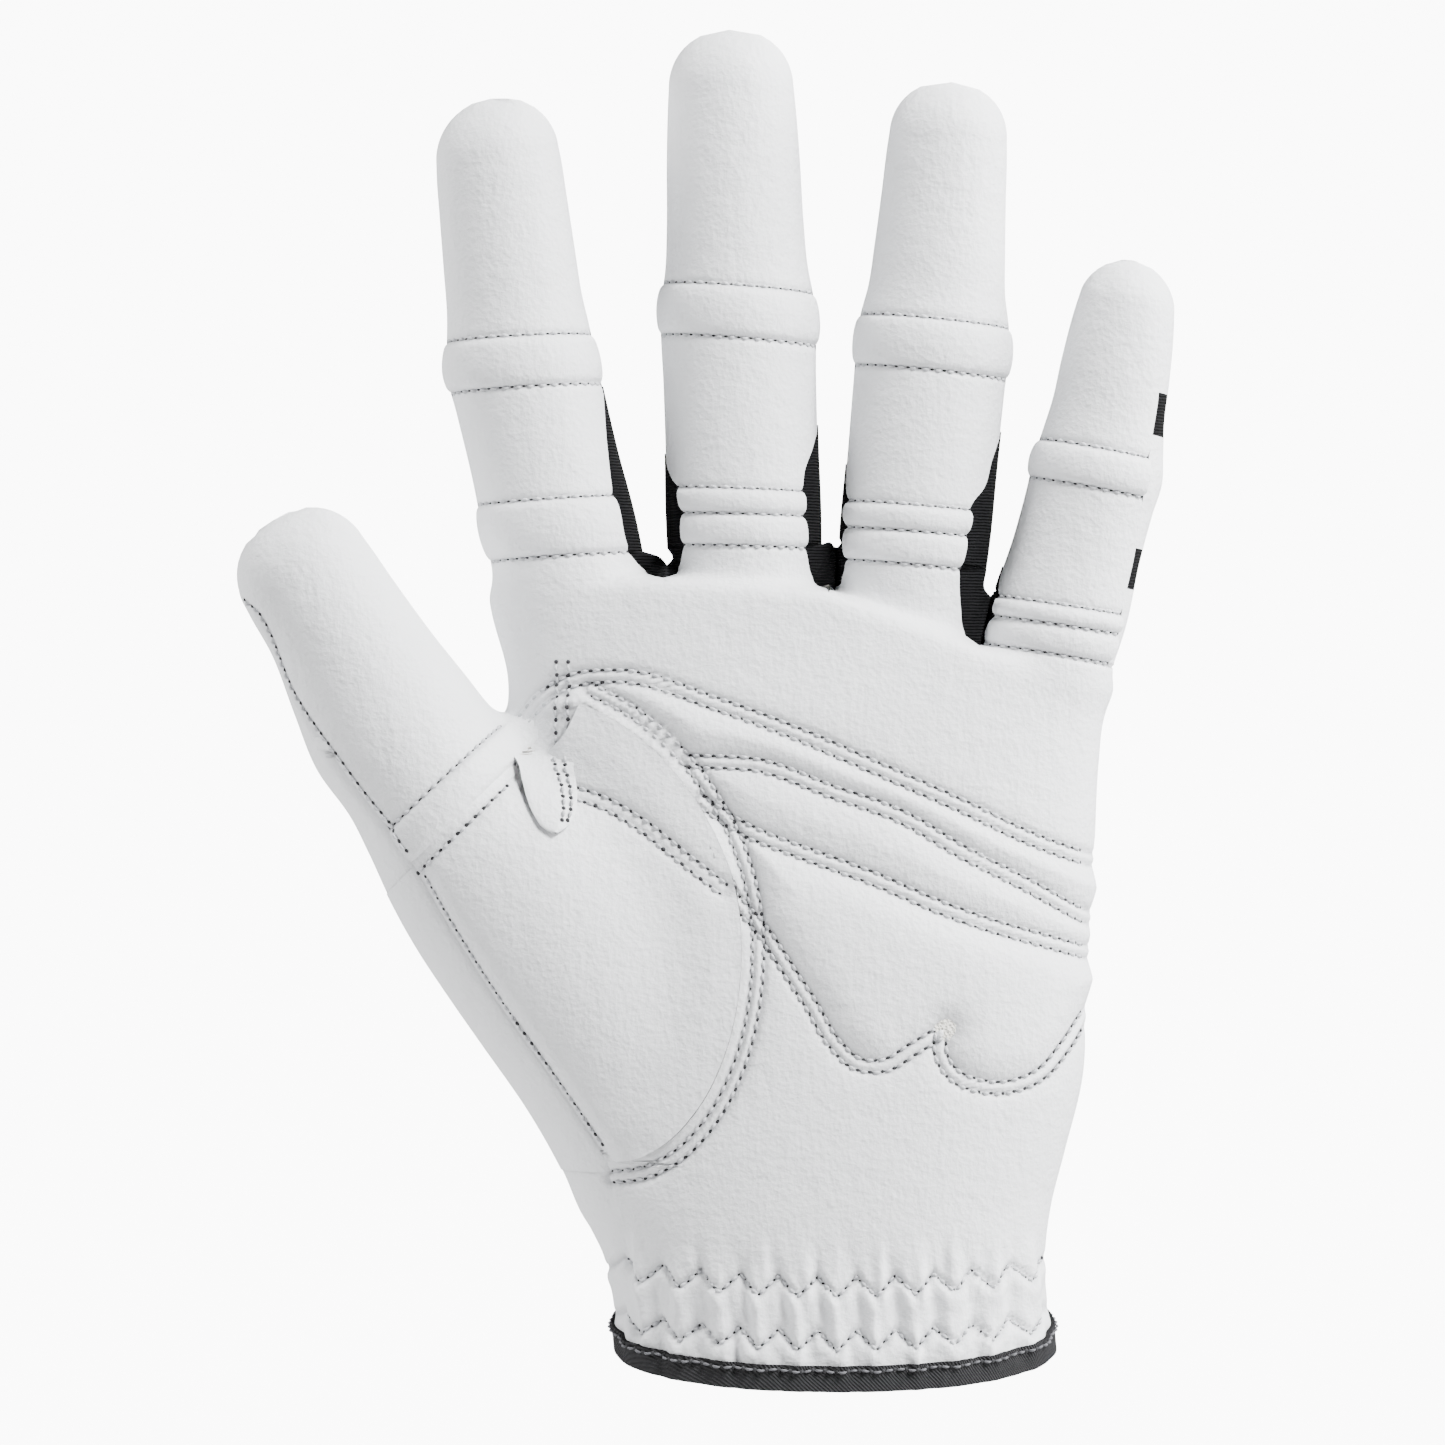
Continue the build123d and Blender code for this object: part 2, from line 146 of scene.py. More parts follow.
def white_leather(name, tone=(0.80, 0.81, 0.825), warm=0.0):
    """Thin tanned sheepskin: pores a third of a millimetre apart, soft creases that run aslant, and
    painted shade, a grey where threads draw it down into grooves."""
    skin_finish = Finish(name)
    where = skin_finish.place()
    pores = skin_finish.cells(where, 1.05)
    fine = skin_finish.noise(where, 1.5, 2.0)
    creased = skin_finish.noise(skin_finish.place((0.55, 0.55, 1.0), 0.7), 0.42, 4.0, 0.6)
    crossed = skin_finish.noise(skin_finish.place((1.0, 0.4, 0.3), 0.5), 0.5, 4.0, 0.6)
    cloudy = skin_finish.noise(where, 0.055, 2.0)
    # Painted shade: the per-vertex groove shade read here greys the leather in stitched grooves, where shade falls.
    drawn = skin_finish.node("ShaderNodeAttribute", "Fac", dict(attribute_name="crease"))
    grey = [c * (0.93 + 0.02 * warm) for c in tone]
    colour = skin_finish.mix(cloudy, (*tone, 1), (*grey, 1))
    dark = skin_finish.mix(drawn * 0.55, colour, (0.30, 0.30, 0.32, 1))
    height = pores * 0.35 + fine * 0.25
    grain = skin_finish.bump(height, 0.24)
    creases_and_groove_shades = skin_finish.bump(creased * 0.6 + crossed * 0.4, 0.55, grain)
    rough = cloudy * 0.12 + fine * 0.10 + 0.42
    skin_finish.shader.inputs["Specular IOR Level"].default_value = 0.25
    skin_finish.shader.inputs["Sheen Weight"].default_value = 0.0
    skin_finish.shader.inputs["Sheen Roughness"].default_value = 0.5
    skin_finish.shader.inputs["Subsurface Weight"].default_value = 0.0
    return skin_finish.finish(Base_Color=dark, Roughness=rough, Normal=creases_and_groove_shades)


def suede(name):
    """The flesh side of the same skin: dull, furry and a little creamy."""
    nap = Finish(name)
    where = nap.place()
    fur = nap.noise(where, 2.4, 5.0, 0.7)
    colour = nap.mix(fur, (0.66, 0.63, 0.58, 1), (0.80, 0.78, 0.73, 1))
    return nap.finish(Base_Color=colour, Roughness=0.95, Normal=nap.bump(fur, 0.25))


def plain(name, colour, rough):
    """A single colour with a faint unevenness."""
    one = Finish(name)
    spots = one.noise(one.place(), 1.2, 2.0)
    deep = [c * 0.85 for c in colour]
    return one.finish(Base_Color=one.mix(spots, (*deep, 1), (*colour, 1)), Roughness=rough)


LEATHER, FLESH = white_leather("white_leather"), suede("leather_flesh_side")

def eased(x, xs, ys):
    """Smooth curve through the points (xs, ys): a cubic between neighbours whose slope at each point
    is the mean of the slopes beside it."""
    xs, ys = np.asarray(xs, float), np.asarray(ys, float)
    slope = np.gradient(ys, xs)
    i = np.clip(np.searchsorted(xs, x) - 1, 0, len(xs) - 2)
    wide = xs[i + 1] - xs[i]
    t = np.clip((x - xs[i]) / wide, 0, 1)
    return ((1 + 2 * t) * (1 - t) ** 2 * ys[i] + t * (1 - t) ** 2 * wide * slope[i]
            + t * t * (3 - 2 * t) * ys[i + 1] + t * t * (t - 1) * wide * slope[i + 1])


def unit(v):
    """Vectors divided by their lengths."""
    return v / np.maximum(np.linalg.norm(v, axis=-1, keepdims=True), 1e-12)


def melt(a, b, width):
    """Lower of two fields, rounded over where they are within width of each other."""
    near = np.maximum(width - np.abs(a - b), 0) / width
    return np.minimum(a, b) - near**3 * width / 6


def smooth(t):
    """Rises from 0 to 1 as t does, level at both ends."""
    t = np.clip(t, 0, 1)
    return t * t * (3 - 2 * t)


class Tube:
    """An oval tube along a straight axis. stations are rows of (distance, shift across, shift back,
    half width, half depth), joined smoothly."""

    def __init__(self, origin, axis, stations):
        self.origin, self.up = np.asarray(origin, float), unit(np.asarray(axis, float))
        self.across = unit(np.cross([0, 1, 0], self.up))
        self.back = np.cross(self.up, self.across)
        self.stations = np.asarray(stations, float).T

    def at(self, distance):
        """The four station values at a distance."""
        return [eased(distance, self.stations[0], row) for row in self.stations[1:]]

    def centre(self, distance):
        """Middle of the tube's section at a distance."""
        across, back, _, _ = self.at(distance)
        return (self.origin + np.multiply.outer(distance, self.up)
                + np.multiply.outer(across, self.across) + np.multiply.outer(back, self.back))

    def field(self, p):
        """Below zero inside the tube, and about the distance from its wall outside."""
        q = p - self.origin
        across, back, wide, deep = self.at(q @ self.up)
        oval = np.sqrt(((q @ self.across - across) / wide) ** 2 + ((q @ self.back - back) / deep) ** 2)
        return (oval - 1) * np.minimum(wide, deep)


PALM_HEIGHT = [-14, 0, 7, 15, 23, 32, 44, 60, 80, 98, 106, 112, 122, 134]
PALM_LEFT = [-36, -35.8, -36.3, -37.4, -39.5, -41.5, -43.8, -47, -50.5, -52.6, -52.8, -53.2, -55.4, -56]
PALM_RIGHT = [35.7, 35.6, 35.0, 34.4, 35.2, 37.4, 40.3, 41.2, 42.1, 42.8, 43.6, 45.9, 47.1, 47.5]
PALM_DEPTH = [22.5, 22, 21.4, 21, 21, 20.9, 20.3, 19.4, 17.5, 16, 15.3, 14.4, 13.2, 12.5]


def palm_field(p):
    """The palm as a rounded box whose sides and depth follow the height, closed over the webs."""
    left, right, deep = [eased(p[..., 2], PALM_HEIGHT, row) for row in (PALM_LEFT, PALM_RIGHT, PALM_DEPTH)]
    middle, wide = (left + right) / 2, (right - left) / 2
    oval = (np.abs((p[..., 0] - middle) / wide) ** 2.2 + np.abs(p[..., 1] / deep) ** 2.2) ** (1 / 2.2)
    top = np.interp(p[..., 0], [-60, -28.3, -1.2, 24.5, 50], [127, 127.6, 125.4, 116, 110])
    return -melt(-(oval - 1) * deep, top - p[..., 2], 5)


def dome(length, width, roundness=2.25):
    """Stations of a fingertip's round end, from its widest place to its point."""
    share = np.array([0.0, 0.3, 0.5, 0.68, 0.82, 0.92, 0.98, 1.0])
    half = width / 2 * (1 - share**roundness) ** (1 / roundness) + 0.04
    return [(length - width / 2 * (1 - s), h) for s, h in zip(share, half)]


class Finger:
    """One finger: its tube, how far along it the middle fold is, the slope of its rows in degrees at
    both folds and the tip, the lines sewn across it, the edges of its black side strips, how far its tip
    leans across, and how square its end is."""

    def __init__(self, name, widths, tip_width, slopes, base_lines, middle_lines, webs, left_edge, right_edge,
                 tip_shift, roundness):
        self.name = name
        self.base, self.middle = FOLDS[f"{name}_base_fold"], FOLDS[f"{name}_middle_fold"]
        tip_mesh = frame["nodes"][f"{name}_tip_front_leather"].data
        corners = np.array([v.co for v in tip_mesh.vertices]) / MM
        tip = corners[np.argmax(corners[:, 2])] + np.array([tip_shift, 0, 0])
        axis = unit(tip - self.base)
        self.length = (tip - self.base) @ axis
        tube = Tube(self.base, axis, [(0, 0, 0, 1, 1), (1, 0, 0, 1, 1)])
        down = self.base - 24 * unit(self.middle - self.base)
        self.middle_at = (self.middle - self.base) @ axis
        path = [((q - self.base) @ axis, (q - self.base) @ tube.across, (q - self.base) @ tube.back)
                for q in (down, self.base, self.middle, tip)]
        at, across, back = np.array(path).T
        ends = dome(self.length, tip_width, roundness)
        sizes = [(s, w / 2) for s, w in widths if s < ends[0][0] - 3] + ends
        self.tube = Tube(self.base, axis, [(s, np.interp(s, at, across), np.interp(s, at, back), h, h * 0.88)
                                           for s, h in sizes])
        self.slopes, self.base_lines, self.middle_lines = slopes, base_lines, middle_lines
        self.webs, self.left_edge, self.right_edge = webs, left_edge, right_edge
        self.root = min(SIDE_START, base_lines[0])

    def rows(self, side, start):
        """Distances of the rows beyond the web: close together, and landing on every seam."""
        if side < 0:
            cuts = [start, self.root, self.base_lines[-1], BAND[1], *[self.middle_at + s for s in self.middle_lines[::len(self.middle_lines) - 1]]]
        else:
            cuts = [start, SIDE_START, *BAND, self.middle_at + 7, self.middle_at + 14]
        last = self.length - 9
        rows = [np.array(cuts[:1], float)]
        for low, high in zip(cuts, cuts[1:] + [last]):
            rows.append(np.linspace(low, high, max(int(np.ceil(abs(high - low) / 0.55)), 1) + 1)[1:])
        rows.append(self.length - 9 * np.cos(np.linspace(0, np.pi / 2, 15)[1:]))
        return np.concatenate(rows)[1:]

    def relief(self, at):
        """How far rows stand out over the foam of the padded folds, 1 mm in the middle of each roll, and
        how much painted shade greys the grooves where the threads beside them draw them in."""
        rise, groove_shade_mask = 0 * at, 0 * at
        for fold_at, lines in ((0, self.base_lines), (self.middle_at, self.middle_lines)):
            s = at - fold_at
            for low, high in zip(lines[:-1], lines[1:]):
                t = np.clip((s - low) / (high - low), 0, 1)
                rise = rise + (1.0 if len(lines) == 2 else 0.85) * (4 * t * (1 - t)) ** 0.6
            for line in lines:
                rise = rise - 0.40 * np.exp(-((s - line) / 0.5) ** 2)
                groove_shade_mask = np.maximum(groove_shade_mask, 0.85 * np.exp(-((s - line) / 0.4) ** 2))
        return rise, groove_shade_mask

    def own_field(self, p):
        """Field of this finger and the hand without its neighbours."""
        return melt(melt(palm_field(p), thumb_tube.field(p), 9), self.tube.field(p), 5)


SIDE_START = -4.5
BAND = (6.2, 13.2)
WEBS = {"left": (-56.0, 126.0), "index": (-28.3, 127.6), "middle": (-1.3, 125.8), "ring": (23.9, 116.6), "right": (47.4, 112.5)}
FINGERS = [
    Finger("index", [(-24, 20), (-8, 24.6), (0, 25.2), (12, 24.6), (22, 24.7), (28, 24.9), (33, 24.0), (38, 22.8),
                     (46, 22.1), (55, 21.4)], 20.6,
           (4, 4, -3), (-4.5, 5.1), (-3.6, 4.9), ("left", "index"), None,
           [(-28.3, 127.6), (-30.0, 127.9), (-31.7, 129.1), (-34.6, 132.6), (-36.5, 139.6), (-37.8, 149), (-38.7, 159.6), (-39.6, 166)], -2.4, 2.1),
    Finger("middle", [(-24, 20), (-8, 25), (0, 25.6), (12, 25.4), (24, 25.5), (33, 25.8), (38, 25.2), (42, 23.9),
                      (50, 22.8), (60, 22.2), (68, 21.4)], 20.8,
           (-1.5, -4.5, 1), (-4.0, 1.3, 5.5), (-4.6, 4.1), ("index", "middle"),
           [(-28.3, 127.6), (-26.9, 128.1), (-26.0, 129.6), (-25.4, 132), (-25.2, 136), (-25.5, 140), (-26.2, 143.5), (-27.5, 147.8)],
           [(-1.3, 125.8), (-2.8, 126.4), (-3.8, 127.9), (-4.6, 131), (-5.2, 136), (-5.4, 142), (-5.1, 145.5), (-3.8, 149.2),
            (-2.7, 154), (-2.6, 158)], -1.8, 2.2),
    Finger("ring", [(-24, 20), (-8, 24), (0, 24.8), (12, 24.9), (24, 25.2), (31, 25.3), (36, 24.8), (41, 22.9),
                    (48, 21.8), (56, 20.8)], 19.6,
           (-4.5, -5.9, -3), (-4.8, 0.7, 5.0), (-3.8, 4.7), ("middle", "ring"),
           [(-1.3, 125.8), (0.2, 126.3), (1.1, 127.8), (1.6, 130), (1.9, 136), (2.0, 140), (2.0, 146)],
           [(23.9, 116.6), (22.4, 117.2), (21.4, 118.8), (20.8, 122.5), (20.6, 128.9), (21.4, 133.5), (22.2, 137.4), (22.8, 140.3),
            (24.3, 142.1), (26.0, 147.2), (27.9, 153), (29.1, 161)], 2.0, 2.2),
    Finger("little", [(-20, 17), (-8, 21.4), (0, 22.6), (12, 21.4), (20, 21.4), (25, 21.8), (30, 20.4), (35, 19.0),
                      (42, 18.3), (50, 17.2)], 16.2,
           (-8.5, -11, -6), (-6.5, -1.7, 1.7), (-3.4, 3.2), ("ring", "right"),
           [(23.9, 116.6), (24.9, 117.3), (25.6, 118.8), (26.4, 121.5), (27.6, 125.8), (28.4, 129)],
           [(46.6, 117.5), (47.9, 124.2), (49.4, 130.8), (50.8, 140.8), (52.0, 149.2), (53.3, 157.5), (53.6, 165.2),
            (53.4, 172.0), (51.7, 178.3)], 2.7, 1.9),
]
THUMB_FOLD = FOLDS["thumb_fold"]
THUMB_AXIS = np.array([-0.5152, -0.1256, 0.8478])
MOUND = [(-80, -3.5, 1, 6.8, 9), (-72, -3.4, 1, 12.1, 13), (-62, -1.0, 0.5, 14.4, 15.2), (-50, 2.1, 0, 17.7, 16.8),
         (-37, 3.8, 0, 20.4, 17.3), (-27, 3.7, 0, 20.9, 16.6), (-17, 2.4, 0, 19.9, 15.4), (-8, 0.2, 0, 17.3, 14.2),
         (0, -1.9, 0, 14.3, 13.2), (7, -2.0, 0, 13.6, 12.9), (17, -2.35, 0, 13.85, 12.6), (27, -1.9, 0, 12.6, 11.8), (37, -1.25, 0, 11.35, 10.8)]
thumb_tube = Tube(THUMB_FOLD, THUMB_AXIS, MOUND + [(s, -1.3, 0, h, h * 0.9) for s, h in dome(55.9, 21.8)])


def glove(p):
    """Field of the gloved hand: the palm and the thumb's mound run into each other, each finger runs
    into the palm, and neighbouring fingers only just meet."""
    body = melt(palm_field(p), thumb_tube.field(p), 9)
    each = [melt(body, finger.tube.field(p), 5) for finger in FINGERS]
    whole = each[0]
    for other in each[1:]:
        whole = melt(whole, other, 1.2)
    return whole


def skin(origin, direction, field=None):
    """Where rays leave the glove's field: each steps out by the field's own depth until it is there."""
    t = np.zeros(np.broadcast_shapes(origin.shape, direction.shape)[:-1])
    for _ in range(22):
        t = np.clip(t - (field or glove)(origin + t[..., None] * direction), 0, 60)
    return origin + t[..., None] * direction


def edge_angle(origin, slope, x, z, side):
    """Angle round a row at which it meets the line that stands over (x, z), on that side of the hand."""
    start = np.stack([x, origin[..., 1], z], -1)
    reach = skin(start, np.broadcast_to([0.0, side, 0.0], start.shape)) - origin
    across = reach[..., 0] * np.cos(slope) + reach[..., 2] * np.sin(slope)
    return np.arctan2(across, side * reach[..., 1])


def fan(origin, slope, low, high, columns, side, lift=None, field=None):
    """Points on the skin: each row fans out from its origin, from angle low to angle high, in a plane
    that slopes across the hand. The angle is 0 straight towards that side. lift raises each ray."""
    share = np.linspace(0, 1, columns)
    angle = low[:, None] + (high - low)[:, None] * share
    across = np.stack([np.cos(slope), 0 * slope, np.sin(slope)], -1)
    direction = np.sin(angle)[..., None] * across[:, None] + side * np.cos(angle)[..., None] * np.array([0.0, 1, 0])
    start = np.broadcast_to(origin[:, None], direction.shape)
    if lift is not None:
        start = start + lift[..., None] * np.array([0.0, 0, 1])
    return skin(start, direction, field or glove)


def outward(points):
    """Normals of a grid of points, from its two directions, turned away from the glove's inside."""
    normal = unit(np.cross(np.gradient(points, axis=0), np.gradient(points, axis=1)))
    middle = (points.shape[0] // 2, points.shape[1] // 2)
    ahead = points[middle] + normal[middle]
    return normal if glove(ahead[None])[0] > glove(points[middle][None])[0] else -normal


def cloth(name, patches, wall, finish, inner=None, lay=0.0):
    """Leather or cloth: patches are (points, normals, crease) grids that share their edges, the
    third being painted shade for the stitched grooves, kept on the outer face only. The outer face lies lay above the
    points, the inner face wall further in, and a rim closes every free edge."""
    corners, faces, facing, creases_and_groove_shades, count = [], [], [], [], 0
    for points, normals, crease in patches:
        rows, columns = points.shape[:2]
        grid = np.arange(rows * columns).reshape(rows, columns) + count
        quads = np.stack([grid[:-1, :-1], grid[:-1, 1:], grid[1:, 1:], grid[1:, :-1]], -1).reshape(-1, 4)
        step = np.cross(points[1:, :-1] - points[:-1, :-1], points[:-1, 1:] - points[:-1, :-1])
        if (step * normals[:-1, :-1]).sum() > 0:
            quads = quads[:, ::-1]
        corners.append((points + lay * normals).reshape(-1, 3))
        facing.append(normals.reshape(-1, 3))
        creases_and_groove_shades.append(np.broadcast_to(0.0 if crease is None else crease, (rows, columns)).ravel())
        faces.append(quads)
        count += rows * columns
    corners, facing, creases_and_groove_shades, faces = [np.concatenate(part) for part in (corners, facing, creases_and_groove_shades, faces)]
    _, first, same = np.unique(np.round(corners, 4), axis=0, return_index=True, return_inverse=True)
    corners, facing, creases_and_groove_shades, faces = corners[first], facing[first], creases_and_groove_shades[first], same.ravel()[faces]
    size = len(corners)
    edges = np.stack([faces, np.roll(faces, -1, axis=1)], -1).reshape(-1, 2)
    there, back = edges[:, 0] * size + edges[:, 1], edges[:, 1] * size + edges[:, 0]
    start, end = edges[~np.isin(there, back) & (there != back)].T
    rim = np.stack([end, start, start + size, end + size], -1)
    outer = [face for face in (list(dict.fromkeys(quad)) for quad in faces.tolist()) if len(face) > 2]
    inside = [[corner + size for corner in face[::-1]] for face in outer]
    return mesh_piece(name, np.concatenate([corners, corners - wall * facing]), outer + inside + rim.tolist(),
                      [finish, inner or finish], np.repeat([0, 1, 0], [len(outer), len(outer), len(rim)]),
                      np.concatenate([facing, -facing]), np.concatenate([creases_and_groove_shades, 0 * creases_and_groove_shades]))


def mesh_piece(name, corners, faces, finishes, slots=None, normals=None, crease=None):
    """Mesh object from arrays in millimetres, with its place in its mesh."""
    mesh = bpy.data.meshes.new(name)
    mesh.from_pydata((corners * MM).tolist(), [], np.asarray(faces).tolist() if isinstance(faces, np.ndarray) else faces)
    for finish in finishes:
        mesh.materials.append(finish)
    mesh.polygons.foreach_set("use_smooth", np.ones(len(faces), bool))
    if slots is not None:
        mesh.polygons.foreach_set("material_index", slots.astype(np.int32))
    # The groove shade attribute is painted shade that greys the leather's colour in stitched grooves.
    if crease is not None:
        mesh.attributes.new("crease", "FLOAT", "POINT").data.foreach_set("value", crease.astype(np.float32))
    if normals is not None:
        mesh.normals_split_custom_set_from_vertices(unit(normals).tolist())
    piece = bpy.data.objects.new(name, mesh)
    bpy.context.scene.collection.objects.link(piece)
    return piece


def distance_to(line, x, z):
    """Distance from points (x, z) to a line of points."""
    line = np.asarray(line, float)
    best = np.full(np.shape(x), 1e9)
    for (ax, az), (bx, bz) in zip(line[:-1], line[1:]):
        span = (bx - ax) ** 2 + (bz - az) ** 2
        t = np.clip(((x - ax) * (bx - ax) + (z - az) * (bz - az)) / span, 0, 1)
        best = np.minimum(best, np.hypot(x - ax - t * (bx - ax), z - az - t * (bz - az)))
    return best


def within(outline, x, z):
    """Whether points (x, z) lie inside an outline: an odd number of its sides pass to their right."""
    inside = np.zeros(np.shape(x), bool)
    for (ax, az), (bx, bz) in zip(outline, outline[1:] + outline[:1]):
        if az != bz:
            inside ^= ((az > z) != (bz > z)) & (x < (bx - ax) * (z - az) / (bz - az) + ax)
    return inside


def drawn(line, step=1.0):
    """Smooth line through points, as points step apart."""
    line = np.asarray(line, float)
    along = np.concatenate([[0], np.cumsum(np.linalg.norm(np.diff(line, axis=0), axis=1))])
    fine = np.linspace(0, along[-1], max(int(along[-1] / 0.25), 8))
    curve = np.stack([eased(fine, along, column) for column in line.T], -1)
    along = np.concatenate([[0], np.cumsum(np.linalg.norm(np.diff(curve, axis=0), axis=1))])
    even = np.linspace(0, along[-1], max(int(round(along[-1] / step)), 2) + 1)
    return np.stack([np.interp(even, along, column) for column in curve.T], -1)


def beside(line, away):
    """A line (x, z) moved sideways by away, to its left as it runs."""
    turn = unit(np.gradient(line, axis=0))
    return line + away * np.stack([-turn[:, 1], turn[:, 0]], -1)


CREASE_LINE = drawn([(-52.3, 103.8), (-49.2, 107.5), (-44.2, 110.6), (-35.8, 111.5), (-19.2, 106.7), (-5.8, 101.7), (5.8, 96.7),
                     (19.2, 90.8), (35.8, 83.3), (43, 81), (60, 78)])
UPPER_LINE = drawn([(-24.2, 97.5), (-12.5, 96.7), (-0.8, 92.5), (10.8, 88.3), (20.8, 82.5), (30.8, 77.5), (41.7, 71.7), (60, 65)])
LOWER_LINE = drawn([(-22.5, 90.8), (-14.2, 85.8), (-5.8, 82.5), (5.8, 78.3), (17.5, 73.3), (41.7, 65.8), (60, 61)])
HEEL_LINE = drawn([(-19.5, 77.2), (-12.5, 70), (-7.5, 62.5), (-4.2, 57.5), (-0.8, 51.7), (3.3, 47.9), (7.5, 47.5), (13, 50.5), (17.4, 53.0)])
HEEL_POINT = drawn([(17.4, 53.0), (17.2, 49.4), (19.4, 45.9), (23, 44.2), (27.5, 43.7), (34.2, 45.8), (38.3, 50), (41.7, 54.5), (60, 70)])
ARC = drawn([(-37.5, 31.3), (-33, 32), (-28.3, 34.4), (-22.5, 40.6), (-18.3, 49.2), (-16.2, 58), (-15.6, 65.8), (-16.2, 74.2), (-18.6, 82.5),
             (-23.0, 90.8), (-29.4, 98.6), (-35.6, 103.6), (-42, 107)])
SEWN_PAIRS = [CREASE_LINE, UPPER_LINE, LOWER_LINE, HEEL_LINE, HEEL_POINT, beside(ARC, -2.7)]
PADS = [(1.3, [*CREASE_LINE.tolist(), *UPPER_LINE[::-1].tolist(), (-29.4, 98.6), (-42, 107)]),
        (0.8, [*UPPER_LINE.tolist(), *LOWER_LINE[::-1].tolist()]),
        (1.6, [*LOWER_LINE.tolist(), *HEEL_POINT[::-1].tolist(), *HEEL_LINE[::-1].tolist()])]
PLEAT = 6.45
ZIGZAG_TOPS = (15.2, 6.5)
ZIGZAG_HEIGHT = 3.3


def zigzag(x):
    """Height of the gathering stitch under its peaks: a triangle wave across the wrist."""
    return -ZIGZAG_HEIGHT * np.abs(((x / PLEAT) % 1) * 2 - 1)


def wrist_fall(x):
    """How far the gathering rows sag from the sides to the middle of the palm."""
    return -2.2 * (1 - (x / 36) ** 2)


def palm_relief(p):
    """How far the leather stands out, and painted shade from 0 to 1 for the grooves where a thread
    draws it in: pads swell away from the sewn lines, each pair of threads sinks, and the wrist is gathered into pleats."""
    x, y, z = p[..., 0], p[..., 1], p[..., 2]
    front = smooth((4.0 - y) / 8)
    rise, groove_shade_mask = np.zeros(x.shape), np.zeros(x.shape)
    for swell, outline in PADS:
        edge = np.full(x.shape, 1e9)
        for line in SEWN_PAIRS:
            edge = np.minimum(edge, distance_to(line, x, z))
        rise += np.where(within(outline, x, z), swell * (1 - np.exp(-(np.maximum(edge - 1.0, 0) / 3.2) ** 1.5)), 0)
    for line in SEWN_PAIRS:
        d = distance_to(line, x, z)
        sunk = np.exp(-((d - 1.0) / 0.42) ** 2)
        rise += -0.50 * sunk - 0.45 * np.exp(-(d / 2.6) ** 2) + 0.25 * np.exp(-(d / 0.5) ** 2)
        groove_shade_mask = np.maximum(groove_shade_mask, sunk)
    level = z - wrist_fall(x)
    gather = np.exp(-((level - 9) / 9.5) ** 4)
    wobble = 0.9 * np.sin(0.61 * x + 1.3) + 0.5 * np.sin(1.7 * x)
    fold = np.cos(2 * np.pi * (x + 0.12 * wobble * (level - 9)) / PLEAT)
    rise += gather * (0.62 * fold + 0.24 * np.sin(2 * np.pi * x / 3.1 + level * 0.35))
    for top in ZIGZAG_TOPS:
        off = (level - top - zigzag(x)) * 0.72
        stitched = np.exp(-(off / 0.5) ** 2)
        rise += -0.75 * stitched + 0.40 * np.exp(-((off + 1.6) / 1.1) ** 2)
        groove_shade_mask = np.maximum(groove_shade_mask, 0.8 * stitched)
    return rise * front, groove_shade_mask * front


ROWS, COLUMNS = ((214, 44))
LEFT_HIDDEN = {-1: [(-38.5, 33), (-37, 36), (-31, 47), (-29, 65), (-35, 84), (-45, 93), (-52.3, 97.4)], 1: [(-39.5, 33), (-45, 62), (-51.8, 97.5)]}


def borders(side, half):
    """The lines up the hand that its strips share, as (x, z): two edges and the three that end at the
    webs. On the back the middle one parts round the slit."""
    v = np.linspace(0, 1, ROWS)
    feet = {"left": (-35.8, 0.8), "index": (-18.5, 0.8 + side * 4.7), "middle": (0, 0.8 + side * 5.5), "ring": (18.5, 0.8 + side * 4.7),
            "right": (35.8, 0.8)}
    lines = {}
    for key, (x, z) in feet.items():
        lines[key] = [x + (WEBS[key][0] - x) * v**1.3, z + (WEBS[key][1] - z) * v]
    if side > 0:
        x, z = lines["middle"]
        gap = 1.7 * np.sqrt(np.clip((SLIT_TOP - z) / 3, 0, 1))
        lines["middle"] = [np.where(z < SLIT_TOP, 0, x * smooth((z - SLIT_TOP) / 30)) + half * gap, z]
    return lines


SLIT_TOP = 51.0



